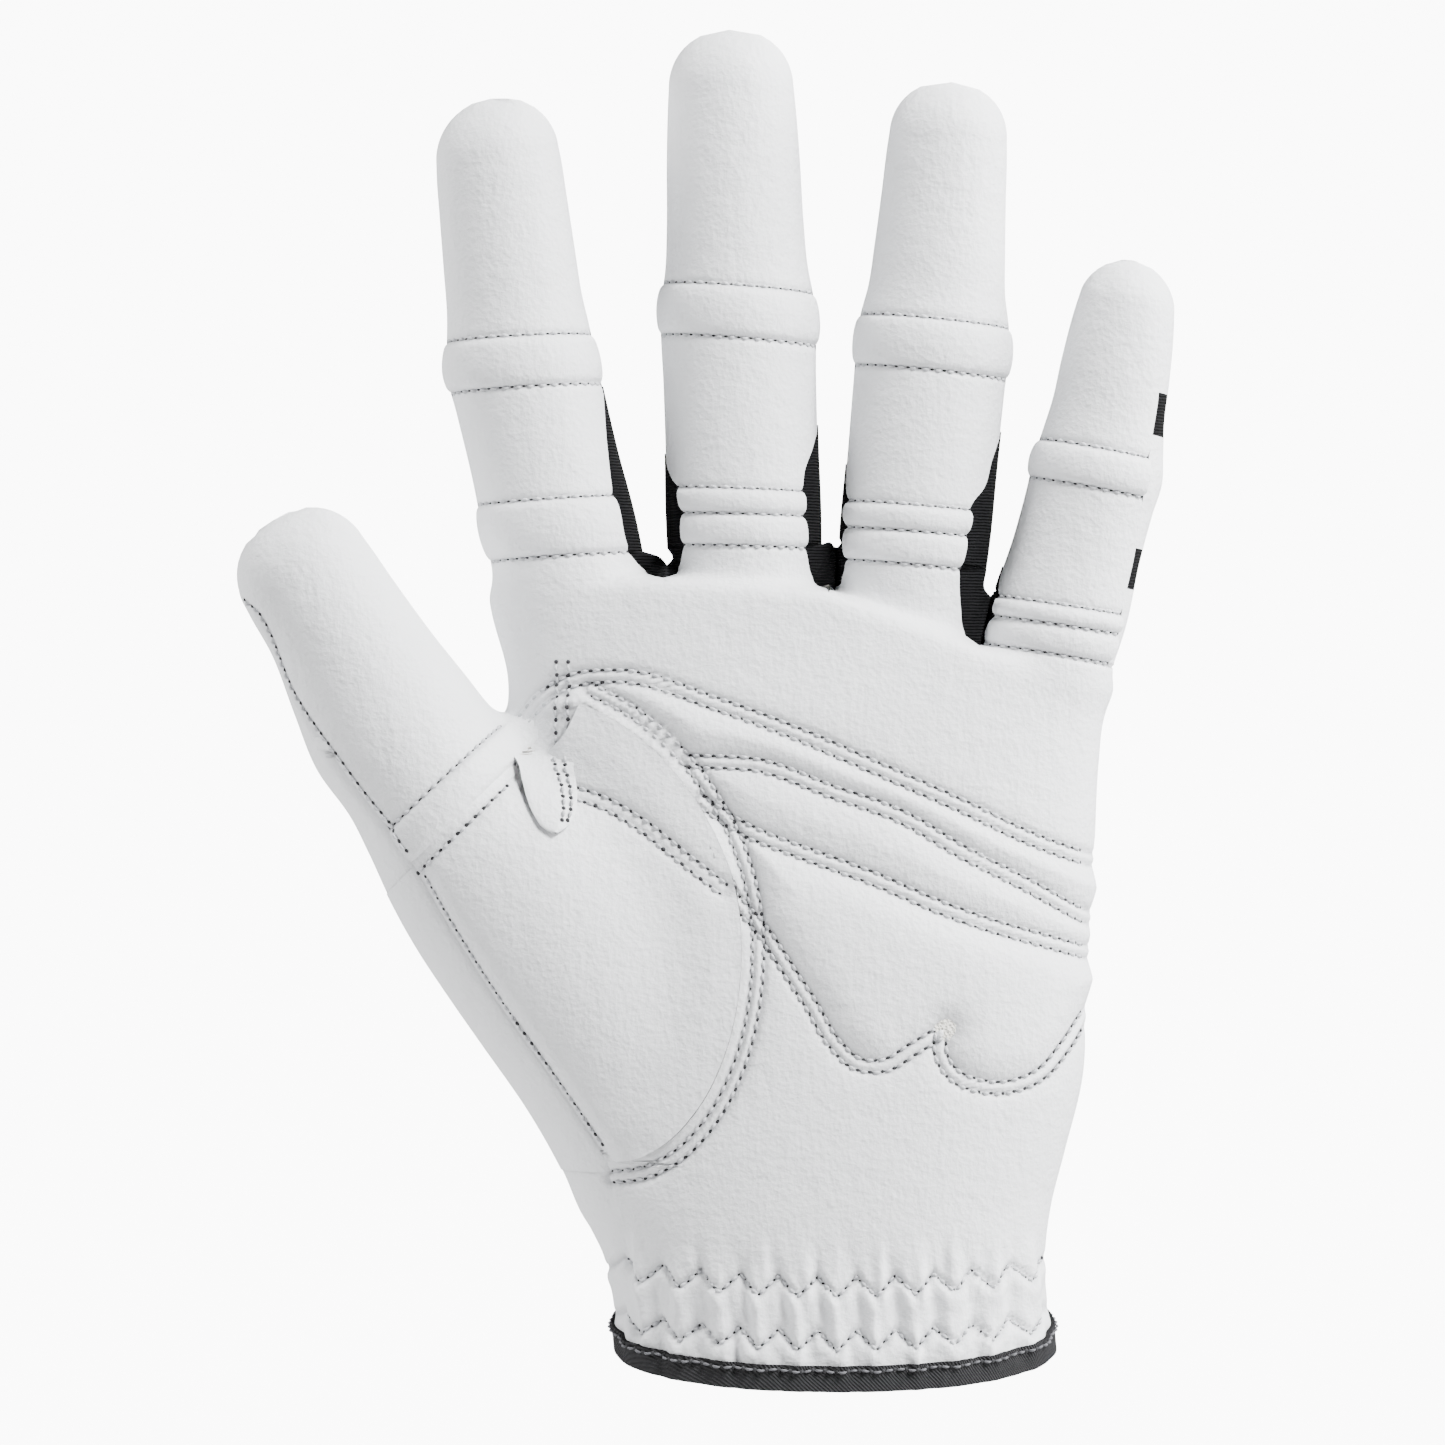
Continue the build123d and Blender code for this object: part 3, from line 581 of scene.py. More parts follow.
class Strip:
    """One finger's strip of the front or the back, from the cuff to the fingertip: its rows' origins,
    slopes and edge angles, its points, and each row's distance along the finger."""

    def __init__(self, finger, side):
        self.finger, self.side = finger, side
        left, right = borders(side, 1)[finger.webs[0]], borders(side, -1)[finger.webs[1]]
        (xl, zl), (xr, zr) = left, right
        v = np.linspace(0, 1, ROWS)
        slope = np.arctan2(zr - zl, xr - xl)
        seek = np.linspace(-20, 20, 400)
        centre = finger.tube.centre(seek)
        start = np.interp(0, centre[:, 2] - zr[-1] - (centre[:, 0] - xr[-1]) * np.tan(slope[-1]), seek)
        web = finger.tube.centre(np.array([start]))[0]
        origin = np.stack([(xl + xr) / 2, 0 * xl, (zl + zr) / 2], -1)
        origin = origin + smooth((v - 0.55) / 0.45)[:, None] * (web - origin[-1])
        origin[:, 2] = zl + (origin[:, 0] - xl) * np.tan(slope)
        beyond = finger.rows(side, start)
        self.at = np.concatenate([start - 0.5 * np.arange(ROWS - 1, -1, -1), beyond])
        marks = [start, max(SIDE_START, start + 0.1), 0.5, finger.middle_at, finger.length]
        turn = [slope[-1], *np.radians([finger.slopes[0], finger.slopes[0], finger.slopes[1], finger.slopes[2]])]
        tip_origin, tip_slope = finger.tube.centre(beyond), np.interp(beyond, marks, turn)
        edges = []
        for (x, z), edge, sign in ((left, finger.left_edge, -1), (right, finger.right_edge, 1)):
            palm = edge_angle(origin, slope, x, z, side)
            if finger.name == "little" and sign > 0:
                palm = np.full(ROWS, np.pi / 2)
            if finger.name == "index" and sign < 0:
                palm = hidden_left(origin, slope, z, side)
            edges.append(np.concatenate([palm, tip_angles(finger, tip_origin, tip_slope, side, edge, sign)]))
        self.origin, self.slope = np.concatenate([origin, tip_origin]), np.concatenate([slope, tip_slope])
        self.low, self.high = edges
        points = fan(self.origin, self.slope, *edges, COLUMNS, side)
        weight = np.clip(1 - np.arange(len(self.at)) / (ROWS / 6), 0, 1) ** 2
        lift = (0.8 + 0.25 * points[0, :, 1] - points[0, :, 2]) * weight[:, None]
        self.points = fan(self.origin, self.slope, *edges, COLUMNS, side, lift)
        self.crease = 0.0
        self.normals = outward(self.points)

    def emboss(self):
        """Adds the padded relief along the normals, keeps the painted shade for its stitched grooves, and finds the
        normals again.
        """
        rise, groove_shade_mask = palm_relief(self.points)
        if self.side < 0:
            share = np.linspace(0, 1, COLUMNS)
            angle = self.low[:, None] + (self.high - self.low)[:, None] * share
            more, roll_groove_shade = self.finger.relief(self.at)
            mask = smooth((np.cos(angle) + 0.30) / 0.5)
            rise, groove_shade_mask = rise + more[:, None] * mask, np.maximum(groove_shade_mask, roll_groove_shade[:, None] * mask)
        self.points = self.points + rise[..., None] * self.normals
        self.crease = groove_shade_mask
        self.normals = outward(self.points)

    def part(self, low, high):
        """The rows between two distances, ends included, as a patch for cloth."""
        rows = (self.at > low - 1e-6) & (self.at < high + 1e-6)
        return self.points[rows], self.normals[rows], self.crease[rows]

    def row(self, distance):
        """Points and normals along the row at a distance."""
        number = np.argmin(np.abs(self.at - distance))
        return self.points[number], self.normals[number]


def hidden_left(origin, slope, z, side):
    """Left edge of the index strip: the side of the wrist, then inside the thumb's mound, then the side
    of the hand again."""
    hx, hz = np.array(LEFT_HIDDEN[side]).T
    angle = edge_angle(origin, slope, eased(z, hz, hx), z, side)
    clear, under = (z < hz[0] - 0.6) | (z > hz[-1] + 2), (z > hz[0]) & (z < hz[-1])
    angle[clear] = -np.pi / 2
    rows, known = np.arange(len(z)), clear | under
    return np.interp(rows, rows[known], angle[known])


def tip_angles(finger, origin, slope, side, edge, sign):
    """Angles at which a finger's rows meet the edge of its panel, a line (x, z). Where the panel goes
    all the way round, they are a quarter turn."""
    if edge is None:
        return np.full(len(slope), sign * np.pi / 2)
    ex, ez = np.array(edge).T
    side_seam = finger.name == "little" and sign > 0
    xe = np.full(len(origin), ex[0])
    for _ in range(10):
        ze = origin[:, 2] + (xe - origin[:, 0]) * np.tan(slope)
        xe = eased(ze, ez, ex)
    angle = edge_angle(origin, slope, xe, ze, -1 if side_seam else side)
    whole = (ze > ez[-1]) | ((ze < ez[0] - 6) & side_seam)
    angle[whole] = sign * np.pi / 2
    rows, known = np.arange(len(ze)), whole | ((ze < ez[-1] - 5) & ((ze > ez[0]) | (not side_seam)))
    angle = np.interp(rows, rows[known], angle[known])
    return np.pi - angle if side_seam and side > 0 else angle


def blend_at_fold(piece, finger, fold):
    """Bakes a piece's placement into its mesh; the finger's fold, the reach about it and the bodies either side are
    worked out but not used.
    """
    place, turn = (finger.base, finger.slopes[0]) if fold == "base" else (finger.middle, finger.slopes[1])
    along = np.array([-np.sin(np.radians(turn)), 0, np.cos(np.radians(turn))])
    reach = (-4.5, 8.5) if fold == "base" else (-9.5, 9.5) if finger.name == "little" else (-11, 11)
    bodies = ("hand", f"{finger.name}_lower") if fold == "base" else (f"{finger.name}_lower", f"{finger.name}_tip")
    [(place + step * along) * MM for step in reach]
    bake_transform(piece)


def gradient(p):
    """The glove field's direction of steepest rise, which is the skin's normal."""
    steps = 0.4 * np.eye(3)
    return unit(np.stack([glove(p + step) - glove(p - step) for step in steps], -1))


def draped(x, z, side, relief=True):
    """Points of the skin over (x, z) on that side of the hand, and their normals."""
    start = np.stack([x, 0 * x + side * 4.0, z], -1)
    points = skin(start, np.broadcast_to([0.0, side, 0.0], start.shape))
    normals = gradient(points)
    if relief and side < 0:
        points = points + palm_relief(points)[0][..., None] * normals
    return points, normals


def threads(name, runs, ride=None, fold=None, thumb=False, pitch=2.0, length=1.25, wide=0.30, thread=None):
    """Lockstitches along runs of (points, normals): each is a short arched thread that goes down at both
    ends into a small dark disc, painted shade standing in for the needle hole. An arch of height h over length l is h
    sin(pi t)."""
    corners, faces, shade_discs, shade_disc_faces = [], [], [], []
    for points, normals in runs:
        along = np.concatenate([[0], np.cumsum(np.linalg.norm(np.diff(points, axis=0), axis=1))])
        count = int(along[-1] / pitch)
        if count < 1:
            continue
        middles = (np.arange(count) + 0.5) * along[-1] / count
        t, turn = np.linspace(-0.5, 0.5, 5), np.linspace(0, 2 * np.pi, 6)[:-1]
        where = middles[:, None] + length * t
        line = np.stack([np.interp(where, along, column) for column in points.T], -1)
        up = unit(np.stack([np.interp(where, along, column) for column in normals.T], -1))
        across = unit(np.cross(unit(np.gradient(line, axis=1)), up))
        high = 0.34 * np.cos(np.pi * t) ** 0.7 + 0.02
        line = line + high[:, None] * up
        around = np.cos(turn)[:, None] * across[..., None, :] * wide + np.sin(turn)[:, None] * up[..., None, :] * 0.26
        thick = (0.45 + 0.55 * np.cos(np.pi * t) ** 0.5)[:, None, None]
        rings = (line[..., None, :] + around * thick).reshape(-1, 3)
        ring = np.arange(25).reshape(5, 5)
        sides = np.stack([ring[:-1], np.roll(ring, -1, 1)[:-1], np.roll(ring, -1, 1)[1:], ring[1:]], -1).reshape(-1, 4)
        sides = [list(f) for f in sides] + [list(ring[0][::-1]), list(ring[-1])]
        base = sum(len(c) for c in corners)
        faces += [[base + 25 * n + i for i in face] for n in range(count) for face in sides]
        corners.append(rings)
        ends = (np.arange(count + 1)) * along[-1] / count
        spot = np.stack([np.interp(ends, along, column) for column in points.T], -1)
        rise = unit(np.stack([np.interp(ends, along, column) for column in normals.T], -1))
        forward = unit(np.cross(rise, [0.3, 0.8, 0.52]))
        other = np.cross(rise, forward)
        hexagon = np.linspace(0, 2 * np.pi, 7)[:-1]
        disc = spot[:, None] + 0.42 * (np.cos(hexagon)[:, None] * forward[:, None] + np.sin(hexagon)[:, None] * other[:, None])
        shade_disc = np.concatenate([disc, (spot + 0.30 * rise)[:, None], (spot - 0.3 * rise)[:, None]], 1)
        low = sum(len(c) for c in shade_discs)
        for n in range(count + 1):
            for k in range(6):
                shade_disc_faces += [[low + 8 * n + k, low + 8 * n + (k + 1) % 6, low + 8 * n + 6],
                              [low + 8 * n + (k + 1) % 6, low + 8 * n + k, low + 8 * n + 7]]
        shade_discs.append(shade_disc.reshape(-1, 3))
    for label, points, shapes, finish in ((name, corners, faces, thread or THREAD), (name + "_holes", shade_discs, shade_disc_faces, HOLE_SHADE)):
        piece = mesh_piece(label, np.concatenate(points), shapes, [finish])
        if fold:
            blend_at_fold(piece, *fold)
        elif thumb:
            bend_thumb(piece)
        else:
            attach(piece, ride or "hand")


def palm_threads(lines, away=1.0):
    """Runs of stitching on the palm, away on both sides of each line (x, z)."""
    runs = []
    for line in lines:
        for side in (-away, away):
            x, z = drawn(beside(line, side), 0.5).T
            inside = x < 41.5
            points, normals = draped(x[inside], z[inside], -1)
            runs.append((points + 0.12 * normals, normals))
    return runs


def piece_of(name, patches, wall, finish, body=None, fold=None, replaces=(), inner=None, lay=0.0):
    """A cloth piece, with the parts it replaces hidden, baked in place where it has a fold and parented to its body
    otherwise.
    """
    piece = cloth(name, patches, wall, finish, inner, lay)
    if replaces:
        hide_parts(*replaces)
    if fold:
        blend_at_fold(piece, *fold)
    else:
        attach(piece, body)
    return piece


# The needle holes are near-black discs: painted shade where each hole is dark.
THREAD, HOLE_SHADE = plain("sewing_thread", (0.52, 0.53, 0.55), 0.6), plain("needle_hole", (0.03, 0.03, 0.033), 0.95)
FRONT = [Strip(finger, -1) for finger in FINGERS]
BACK = [Strip(finger, 1) for finger in FINGERS]


def join_borders(strips, skip=0):
    """Gives neighbouring strips the same points and normals where they are one piece of leather."""
    for number, (a, b) in enumerate(zip(strips[:-1], strips[1:])):
        low = skip if number == 1 else 0
        rows = slice(low, ROWS)
        for one, other in ((a.points, b.points), (a.normals, b.normals)):
            shared = (one[rows, -1] + other[rows, 0]) / 2
            one[rows, -1] = other[rows, 0] = shared
        a.normals[rows, -1] = b.normals[rows, 0] = unit(b.normals[rows, 0])


slit_rows = int((borders(1, 1)["middle"][1] < SLIT_TOP).sum())
for strips, skip in ((FRONT, 0), (BACK, slit_rows)):
    join_borders(strips, skip)
    for one in strips:
        one.emboss()
    join_borders(strips, skip)

piece_of("palm_leather", [s.part(-999, s.finger.root) for s in FRONT], 0.8, LEATHER, "hand",
         replaces=["palm_leather"], inner=FLESH)
threads("palm_stitching", palm_threads([CREASE_LINE, UPPER_LINE, LOWER_LINE, HEEL_LINE, HEEL_POINT]))
threads("arc_stitching", [draped(*drawn(beside(ARC, -away), 0.5)[:-1].T, -1) for away in (1.7, 3.5)])

# ---- Wrist gathers ------------------------------------------------------------------------------
# Two zigzag rows of white thread that hold the stretched elastic to the inside of the palm leather.
runs = []
for top in ZIGZAG_TOPS:
    x = np.arange(-35.2, 35.3, 0.4)
    z = top + wrist_fall(x) + zigzag(x)
    runs.append(draped(x, z, -1))
threads("gather_stitching", runs, pitch=1.75, length=1.3, wide=0.3)

# ---- Pads under the palm ------------------------------------------------------------------------
# Thin foam between the leather and the lining: one across the finger creases, one in the heel.
foam = Finish("foam")
FOAM = foam.finish(Base_Color=foam.mix(foam.noise(foam.place(), 1.8), (0.62, 0.60, 0.55, 1), (0.80, 0.78, 0.72, 1)),
                   Roughness=0.95, Normal=foam.bump(foam.cells(foam.place(), 2.2), 0.3))


def between(first, last, rows, columns):
    """Grid of points (x, z) between two lines, both drawn in the same direction."""
    share = np.linspace(0, 1, columns)
    ends = [np.stack([np.interp(share, np.linspace(0, 1, len(line)), column) for column in np.asarray(line, float).T], -1)
            for line in (first, last)]
    mixed = np.linspace(0, 1, rows)[:, None, None]
    return ends[0] * (1 - mixed) + ends[1] * mixed


def laid(grid, side, relief=True):
    """Patch for cloth over a grid of points (x, z)."""
    points, normals = draped(grid[..., 0], grid[..., 1], side, relief)
    return points, normals, None


def short_of(line, limit=37):
    """The part of a line left of x = limit."""
    return line[line[:, 0] < limit]


pad = laid(between(short_of(beside(CREASE_LINE[26:], -2.5)), short_of(beside(UPPER_LINE, 2.5)), 16, 60), -1)
piece_of("crease_pad", [pad], 1.3, FOAM, "hand", replaces=["crease_pad"], lay=-0.9)
lower = np.concatenate([HEEL_LINE[2:-3], HEEL_POINT[12:]])
pad = laid(between(short_of(beside(LOWER_LINE[8:], -2.5)), short_of(beside(lower, 2.2)), 26, 60), -1)
piece_of("heel_pad", [pad], 1.3, FOAM, "hand", replaces=["heel_pad"], lay=-0.9)

# ---- Palm lining --------------------------------------------------------------------------------
# A thin knitted cloth across the inside of the palm, caught in the seams round it.
lining = Finish("lining_cloth")
knit = lining.place()
LINING = lining.finish(Base_Color=lining.mix(lining.noise(knit, 2.0), (0.70, 0.70, 0.69, 1), (0.84, 0.84, 0.83, 1)), Roughness=0.9,
                       Normal=lining.bump(lining.cells(knit, 1.6), 0.15))
points, normals, _ = laid(between(np.array([(-34, 38), (38, 38)]), np.array([(-34, 108), (38, 108)]), 50, 60), -1, False)
piece = piece_of("palm_lining", [(points, normals, None)], 0.4, LINING, "hand", replaces=["palm_lining"], lay=-2.6)
across = np.linalg.norm(np.diff(points - 2.8 * normals, axis=1), axis=-1).sum(1).mean()
along = np.linalg.norm(np.diff(points - 2.8 * normals, axis=0), axis=-1).sum(0).mean()

# ---- Back leather -------------------------------------------------------------------------------
# The back of the hand and of the finger roots, one piece of the same skin, slit up the middle from
# the wrist.
piece_of("back_leather", [s.part(-999, SIDE_START) for s in BACK], 0.8, LEATHER, "hand",
         replaces=["back_leather"], inner=FLESH)

# ---- Fingers ------------------------------------------------------------------------------------
# Each finger is a front and a back panel with black stretch strips between them. A foam roll is sewn
# across the front at both folds, and a black stretch band lets the back open there.
black = Finish("black_stretch")
where = black.place()
ribs = black.node("ShaderNodeTexWave", "Fac", dict(bands_direction="Z"), Vector=where, Scale=0.62, Distortion=1.2, Detail=1.0)
knit = black.noise(where, 2.6, 3.0)
black.shader.inputs["Specular IOR Level"].default_value = 0.12
BLACK = black.finish(Base_Color=black.mix(ribs * 0.6 + knit * 0.4, (0.002, 0.002, 0.0025, 1), (0.009, 0.009, 0.010, 1)), Roughness=0.95,
                     Normal=black.bump(ribs, 0.35, black.bump(knit, 0.12)))


SIDE_STARTS = {("index", 1): -4.5, ("middle", -1): -4.5, ("middle", 1): -3.2, ("ring", -1): -1.2, ("ring", 1): -4.5, ("little", -1): 3.2}


def swelling(columns):
    """How far a black strip stands out across its width: tucked under the leather at both edges."""
    return 0.75 * np.sin(np.pi * np.linspace(0, 1, columns)) ** 0.5 - 0.55


def side_wall(finger, front, back, sign, low, high):
    """Patch of the black strip on one side of a finger, from its front panel's edge round to its back
    panel's, between two distances along it."""
    at = np.linspace(low, high, max(int((high - low) / 0.6), 3))
    angles = []
    for one in (front, back):
        rows = slice(ROWS - 1, None)
        angles.append(np.interp(at, one.at[rows], (one.low if sign < 0 else one.high)[rows]))
    origin = finger.tube.centre(at)
    slope = np.interp(at, front.at[ROWS - 1:], front.slope[ROWS - 1:])
    first, last = angles[0], sign * np.pi - angles[1]
    reach = 0.04 * sign
    points = fan(origin, slope, first - reach, last + reach, 22, -1, None, finger.own_field)
    normals = unit(np.cross(np.gradient(points, axis=0), np.gradient(points, axis=1)))
    normals = normals * np.sign((normals * (points - origin[:, None])).sum(-1).mean())
    return points + swelling(22)[:, None] * normals, normals, None


for finger, front, back in zip(FINGERS, FRONT, BACK):
    name, middle, (ml, mh) = finger.name, finger.middle_at, finger.middle_lines[::len(finger.middle_lines) - 1]
    base, knuckle = (finger, "base"), (finger, "middle")
    piece_of(f"{name}_base_roll", [front.part(finger.root, finger.base_lines[-1])], 0.8, LEATHER, fold=base,
             replaces=[f"{name}_base_roll"], inner=FLESH)
    piece_of(f"{name}_lower_front_leather_near", [front.part(finger.base_lines[-1], BAND[1])], 0.8, LEATHER, fold=base,
             replaces=[f"{name}_lower_front_leather"], inner=FLESH)
    piece_of(f"{name}_lower_front_leather_far", [front.part(BAND[1], middle + ml)], 0.8, LEATHER, fold=knuckle,
             replaces=[f"{name}_lower_front_leather"], inner=FLESH)
    piece_of(f"{name}_middle_roll", [front.part(middle + ml, middle + mh)], 0.8, LEATHER, fold=knuckle,
             replaces=[f"{name}_middle_roll"], inner=FLESH)
    piece_of(f"{name}_tip_front_leather", [front.part(middle + mh, 999)], 0.8, LEATHER, fold=knuckle,
             replaces=[f"{name}_tip_front_leather"], inner=FLESH)
    piece_of(f"{name}_lower_back_leather_near", [back.part(SIDE_START, BAND[0])], 0.8, LEATHER, fold=base,
             replaces=[f"{name}_lower_back_leather"], inner=FLESH)
    piece_of(f"{name}_base_band", [back.part(*BAND)], 0.7, BLACK, fold=base, replaces=[f"{name}_base_band"])
    piece_of(f"{name}_lower_back_leather_far", [back.part(BAND[1], middle + 7)], 0.8, LEATHER, fold=knuckle,
             replaces=[f"{name}_lower_back_leather"], inner=FLESH)
    piece_of(f"{name}_middle_band", [back.part(middle + 7, middle + 14)], 0.7, BLACK, fold=knuckle,
             replaces=[f"{name}_middle_band"])
    piece_of(f"{name}_tip_back_leather", [back.part(middle + 14, 999)], 0.8, LEATHER, fold=knuckle,
             replaces=[f"{name}_tip_back_leather"], inner=FLESH)
    for word, sign, edge in (("left", -1, finger.left_edge), ("right", 1, finger.right_edge)):
        if edge is None or (name == "little" and sign > 0):
            continue
        angle = np.abs(front.low if sign < 0 else front.high)
        end = front.at[(angle > 1.56) & (front.at > 0)][0] + 0.6
        piece_of(f"{name}_{word}_fourchette_near", [side_wall(finger, front, back, sign, SIDE_STARTS[name, sign], min(BAND[1], end))], 0.5, BLACK,
                 fold=base, replaces=[f"{name}_lower_fourchette"])
        if end > BAND[1] + 0.7:
            piece_of(f"{name}_{word}_fourchette_far", [side_wall(finger, front, back, sign, BAND[1], end)], 0.5, BLACK,
                     fold=knuckle, replaces=[f"{name}_lower_fourchette"])
    for fold, fold_at, lines in (("base", 0, finger.base_lines), ("middle", middle, finger.middle_lines)):
        runs = []
        for line in lines:
            points, normals = front.row(fold_at + line)
            angle = np.linspace(0, 1, COLUMNS)
            number = np.argmin(np.abs(front.at - fold_at - line))
            angle = front.low[number] + (front.high[number] - front.low[number]) * np.linspace(0, 1, COLUMNS)
            facing = np.abs(angle) < 1.45
            runs.append((points[facing], normals[facing]))
        threads(f"{name}_{fold}_stitching", runs, fold=(finger, fold))

# ---- Webs between the fingers -------------------------------------------------------------------
# The black strips run on down one finger, through the web and up the next, in one length.
CRESTS = {"index": (-28.0, 130.0), "middle": (0.1, 132.7), "ring": (25.9, 124.8)}
t, w = np.linspace(0, 1, 61), np.linspace(-1, 1, 41)
for left, right, key in ((0, 1, "index"), (1, 2, "middle"), (2, 3, "ring")):
    a, b = FINGERS[left], FINGERS[right]
    starts = [SIDE_STARTS[a.name, 1], SIDE_STARTS[b.name, -1]]
    edges = []
    for strips in (FRONT, BACK):
        one, other = strips[left], strips[right]
        n, m = max(np.argmin(np.abs(one.at - starts[0])), ROWS + 1), max(np.argmin(np.abs(other.at - starts[1])), ROWS + 1)
        up, down = one.points[ROWS - 1:n + 1, -1][::-1], other.points[ROWS - 1:m + 1, 0]
        spots = np.concatenate([np.linspace(0, 0.5, len(up)), np.linspace(0.5, 1, len(down))[1:]])
        line = np.concatenate([up, down[1:]])
        edges.append(np.stack([np.interp(t, spots, column) for column in line.T], -1))
    walls = []
    for finger, start, sign in ((a, starts[0], 1), (b, starts[1], -1)):
        at = np.array([start])
        slope = np.radians([finger.slopes[0]])
        quarter = np.array([sign * np.pi / 2])
        walls.append(fan(finger.tube.centre(at), slope, quarter, quarter, 2, -1, None, finger.own_field)[0, 0] + [0.2 * sign, 0, 0])
    cx, cz = CRESTS[key]
    round_bottom = [(cx - 0.9, cz + 1.1), (cx, cz), (cx + 0.9, cz + 1.1)]
    halves = [drawn([walls[0][[0, 2]], round_bottom[0], round_bottom[1]], 0.1), drawn([round_bottom[1], round_bottom[2], walls[1][[0, 2]]], 0.1)]
    spots = np.concatenate([np.linspace(0, 0.5, len(halves[0])), np.linspace(0.5, 1, len(halves[1]))[1:]])
    crest = np.stack([np.interp(t, spots, column) for column in np.concatenate([halves[0], halves[1][1:]]).T], -1)
    edge = np.where(w[None, :, None] < 0, edges[0][:, None], edges[1][:, None])
    share = np.cos(np.pi / 2 * w)[None, :, None] ** 0.9
    under = 0.9 * unit(edge[..., [0, 2]] - crest[:, None]) * (1 - share)
    flat = edge[..., [0, 2]] + under + (crest[:, None] - edge[..., [0, 2]]) * share
    deep = (edge[..., 1] * (1 - 0.6 / np.abs(edge[..., 1]))) * np.abs(np.sin(np.pi / 2 * w)) ** 0.9
    points = np.stack([flat[..., 0], deep, flat[..., 1]], -1)
    normals = unit(np.cross(np.gradient(points, axis=0), np.gradient(points, axis=1)))
    normals = normals * np.sign(normals[30, 20, 2])
    piece_of(f"{a.name}_{b.name}_fourchette", [(points, normals, None)], 0.5, BLACK, "hand",
             replaces=[f"{a.name}_{b.name}_fourchette"])

# ---- Thumb --------------------------------------------------------------------------------------
# The thumb is set in by itself: a front and a back panel meet in a seam along its outside, and sit on
# a heel piece that is sewn over the palm along an arc.
SEAM = drawn([(-37.5, 31.3), (-47.5, 45.8), (-55.8, 57.5), (-64.2, 70.8), (-70, 80.8), (-80.8, 95), (-89.2, 107.5), (-95, 120.8), (-98.7, 125.8)])
THUMB_START, ROLL_START, ROLL_END = -3.9, -2.7, 3.9


def thumb_rows(at):
    """Origins and slopes of rows round the thumb and its mound."""
    slope = np.radians(np.interp(at, [-69.5, -58, -46, -3, 2, 20], [2, 20, 31, 44.5, 44.5, 31.3]))
    return thumb_tube.centre(at), slope


def meets(origin, slope, line, side):
    """Angle at which each row meets the line (x, z) on that side of the hand."""
    lx, lz = np.asarray(line, float).T
    xe = np.full(len(origin), lx.mean())
    for _ in range(60):
        ze = origin[:, 2] + (xe - origin[:, 0]) * np.tan(slope)
        xe = 0.5 * xe + 0.5 * np.interp(ze, lz, lx)
    angle = edge_angle(origin, slope, xe, ze, side)
    return angle, ze


def thumb_patch(at, first, last, columns, relief):
    """Patch round the thumb between two angles for each row, with the padded roll on its front, and painted shade for
    the grooves at its seam and roll stitching.
    """
    origin, slope = thumb_rows(at)
    points = fan(origin, slope, first, last, columns, -1)
    normals = outward(points)
    beside_seam = 14 * np.abs(first - last)[:, None] * (np.linspace(0, 1, columns) if relief else np.linspace(1, 0, columns))
    groove = np.exp(-(beside_seam / 0.9) ** 2)
    points = points - 0.45 * groove[..., None] * normals
    if relief:
        angle = first[:, None] + (last - first)[:, None] * np.linspace(0, 1, columns)
        t = np.clip((at - ROLL_START) / (ROLL_END - ROLL_START), 0, 1)
        rise = 1.1 * (4 * t * (1 - t)) ** 0.6 - 0.35 * np.exp(-((at - ROLL_END) / 0.5) ** 2) - 0.35 * np.exp(-((at - ROLL_START) / 0.5) ** 2)
        groove_shade_mask = 0.8 * np.exp(-((at - ROLL_END) / 0.4) ** 2)
        mask = smooth((np.cos(angle) + 0.2) / 0.5)
        points = points + (rise[:, None] * mask)[..., None] * normals
        return points, outward(points), np.maximum(groove_shade_mask[:, None] * mask, 0.5 * groove)
    return points, outward(points), 0.5 * groove


def rows_of(patch, at, low, high):
    """The rows of a patch between two distances."""
    rows = (at > low - 1e-6) & (at < high + 1e-6)
    return tuple(part[rows] for part in patch)


def bend_thumb(piece, replaces=()):
    """Bakes a thumb piece's placement into its mesh and hides the parts it replaces."""
    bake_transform(piece)
    if replaces:
        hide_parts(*replaces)


last = 55.9
at = np.concatenate([np.linspace(THUMB_START, ROLL_END, 20), np.linspace(ROLL_END, last - 9, 70)[1:],
                     last - 9 * np.cos(np.linspace(0, np.pi / 2, 16)[1:])])
origin, slope = thumb_rows(at)
seam_angle, seam_z = meets(origin, slope, SEAM, -1)
seam_angle = np.where(seam_z > 122, np.interp(seam_z, [122, 127], [0, 1]) * (-np.pi / 2 - seam_angle) + seam_angle, seam_angle)
seam_angle = np.where(seam_z > 127, -np.pi / 2, seam_angle)
inner_edge = np.full(len(at), np.radians(95))
front = thumb_patch(at, seam_angle, inner_edge, 56, True)
back = thumb_patch(at, inner_edge - 2 * np.pi, seam_angle, 56, False)
seam_run = (front[0][8:-14, 2], front[1][8:-14, 2])
row = np.argmin(np.abs(at - ROLL_END))
roll_run = (front[0][row, 3:-4], front[1][row, 3:-4])
threads("thumb_stitching", [roll_run, seam_run], thumb=True)
bend_thumb(cloth("thumb_roll", [rows_of(front, at, -9, ROLL_END)], 0.8, LEATHER, FLESH), ["thumb_roll"])
bend_thumb(cloth("thumb_front_leather", [rows_of(front, at, ROLL_END, 99)], 0.8, LEATHER, FLESH), ["thumb_front_leather"])
bend_thumb(cloth("thumb_back_leather", [back], 0.8, LEATHER, FLESH), ["thumb_back_leather"])

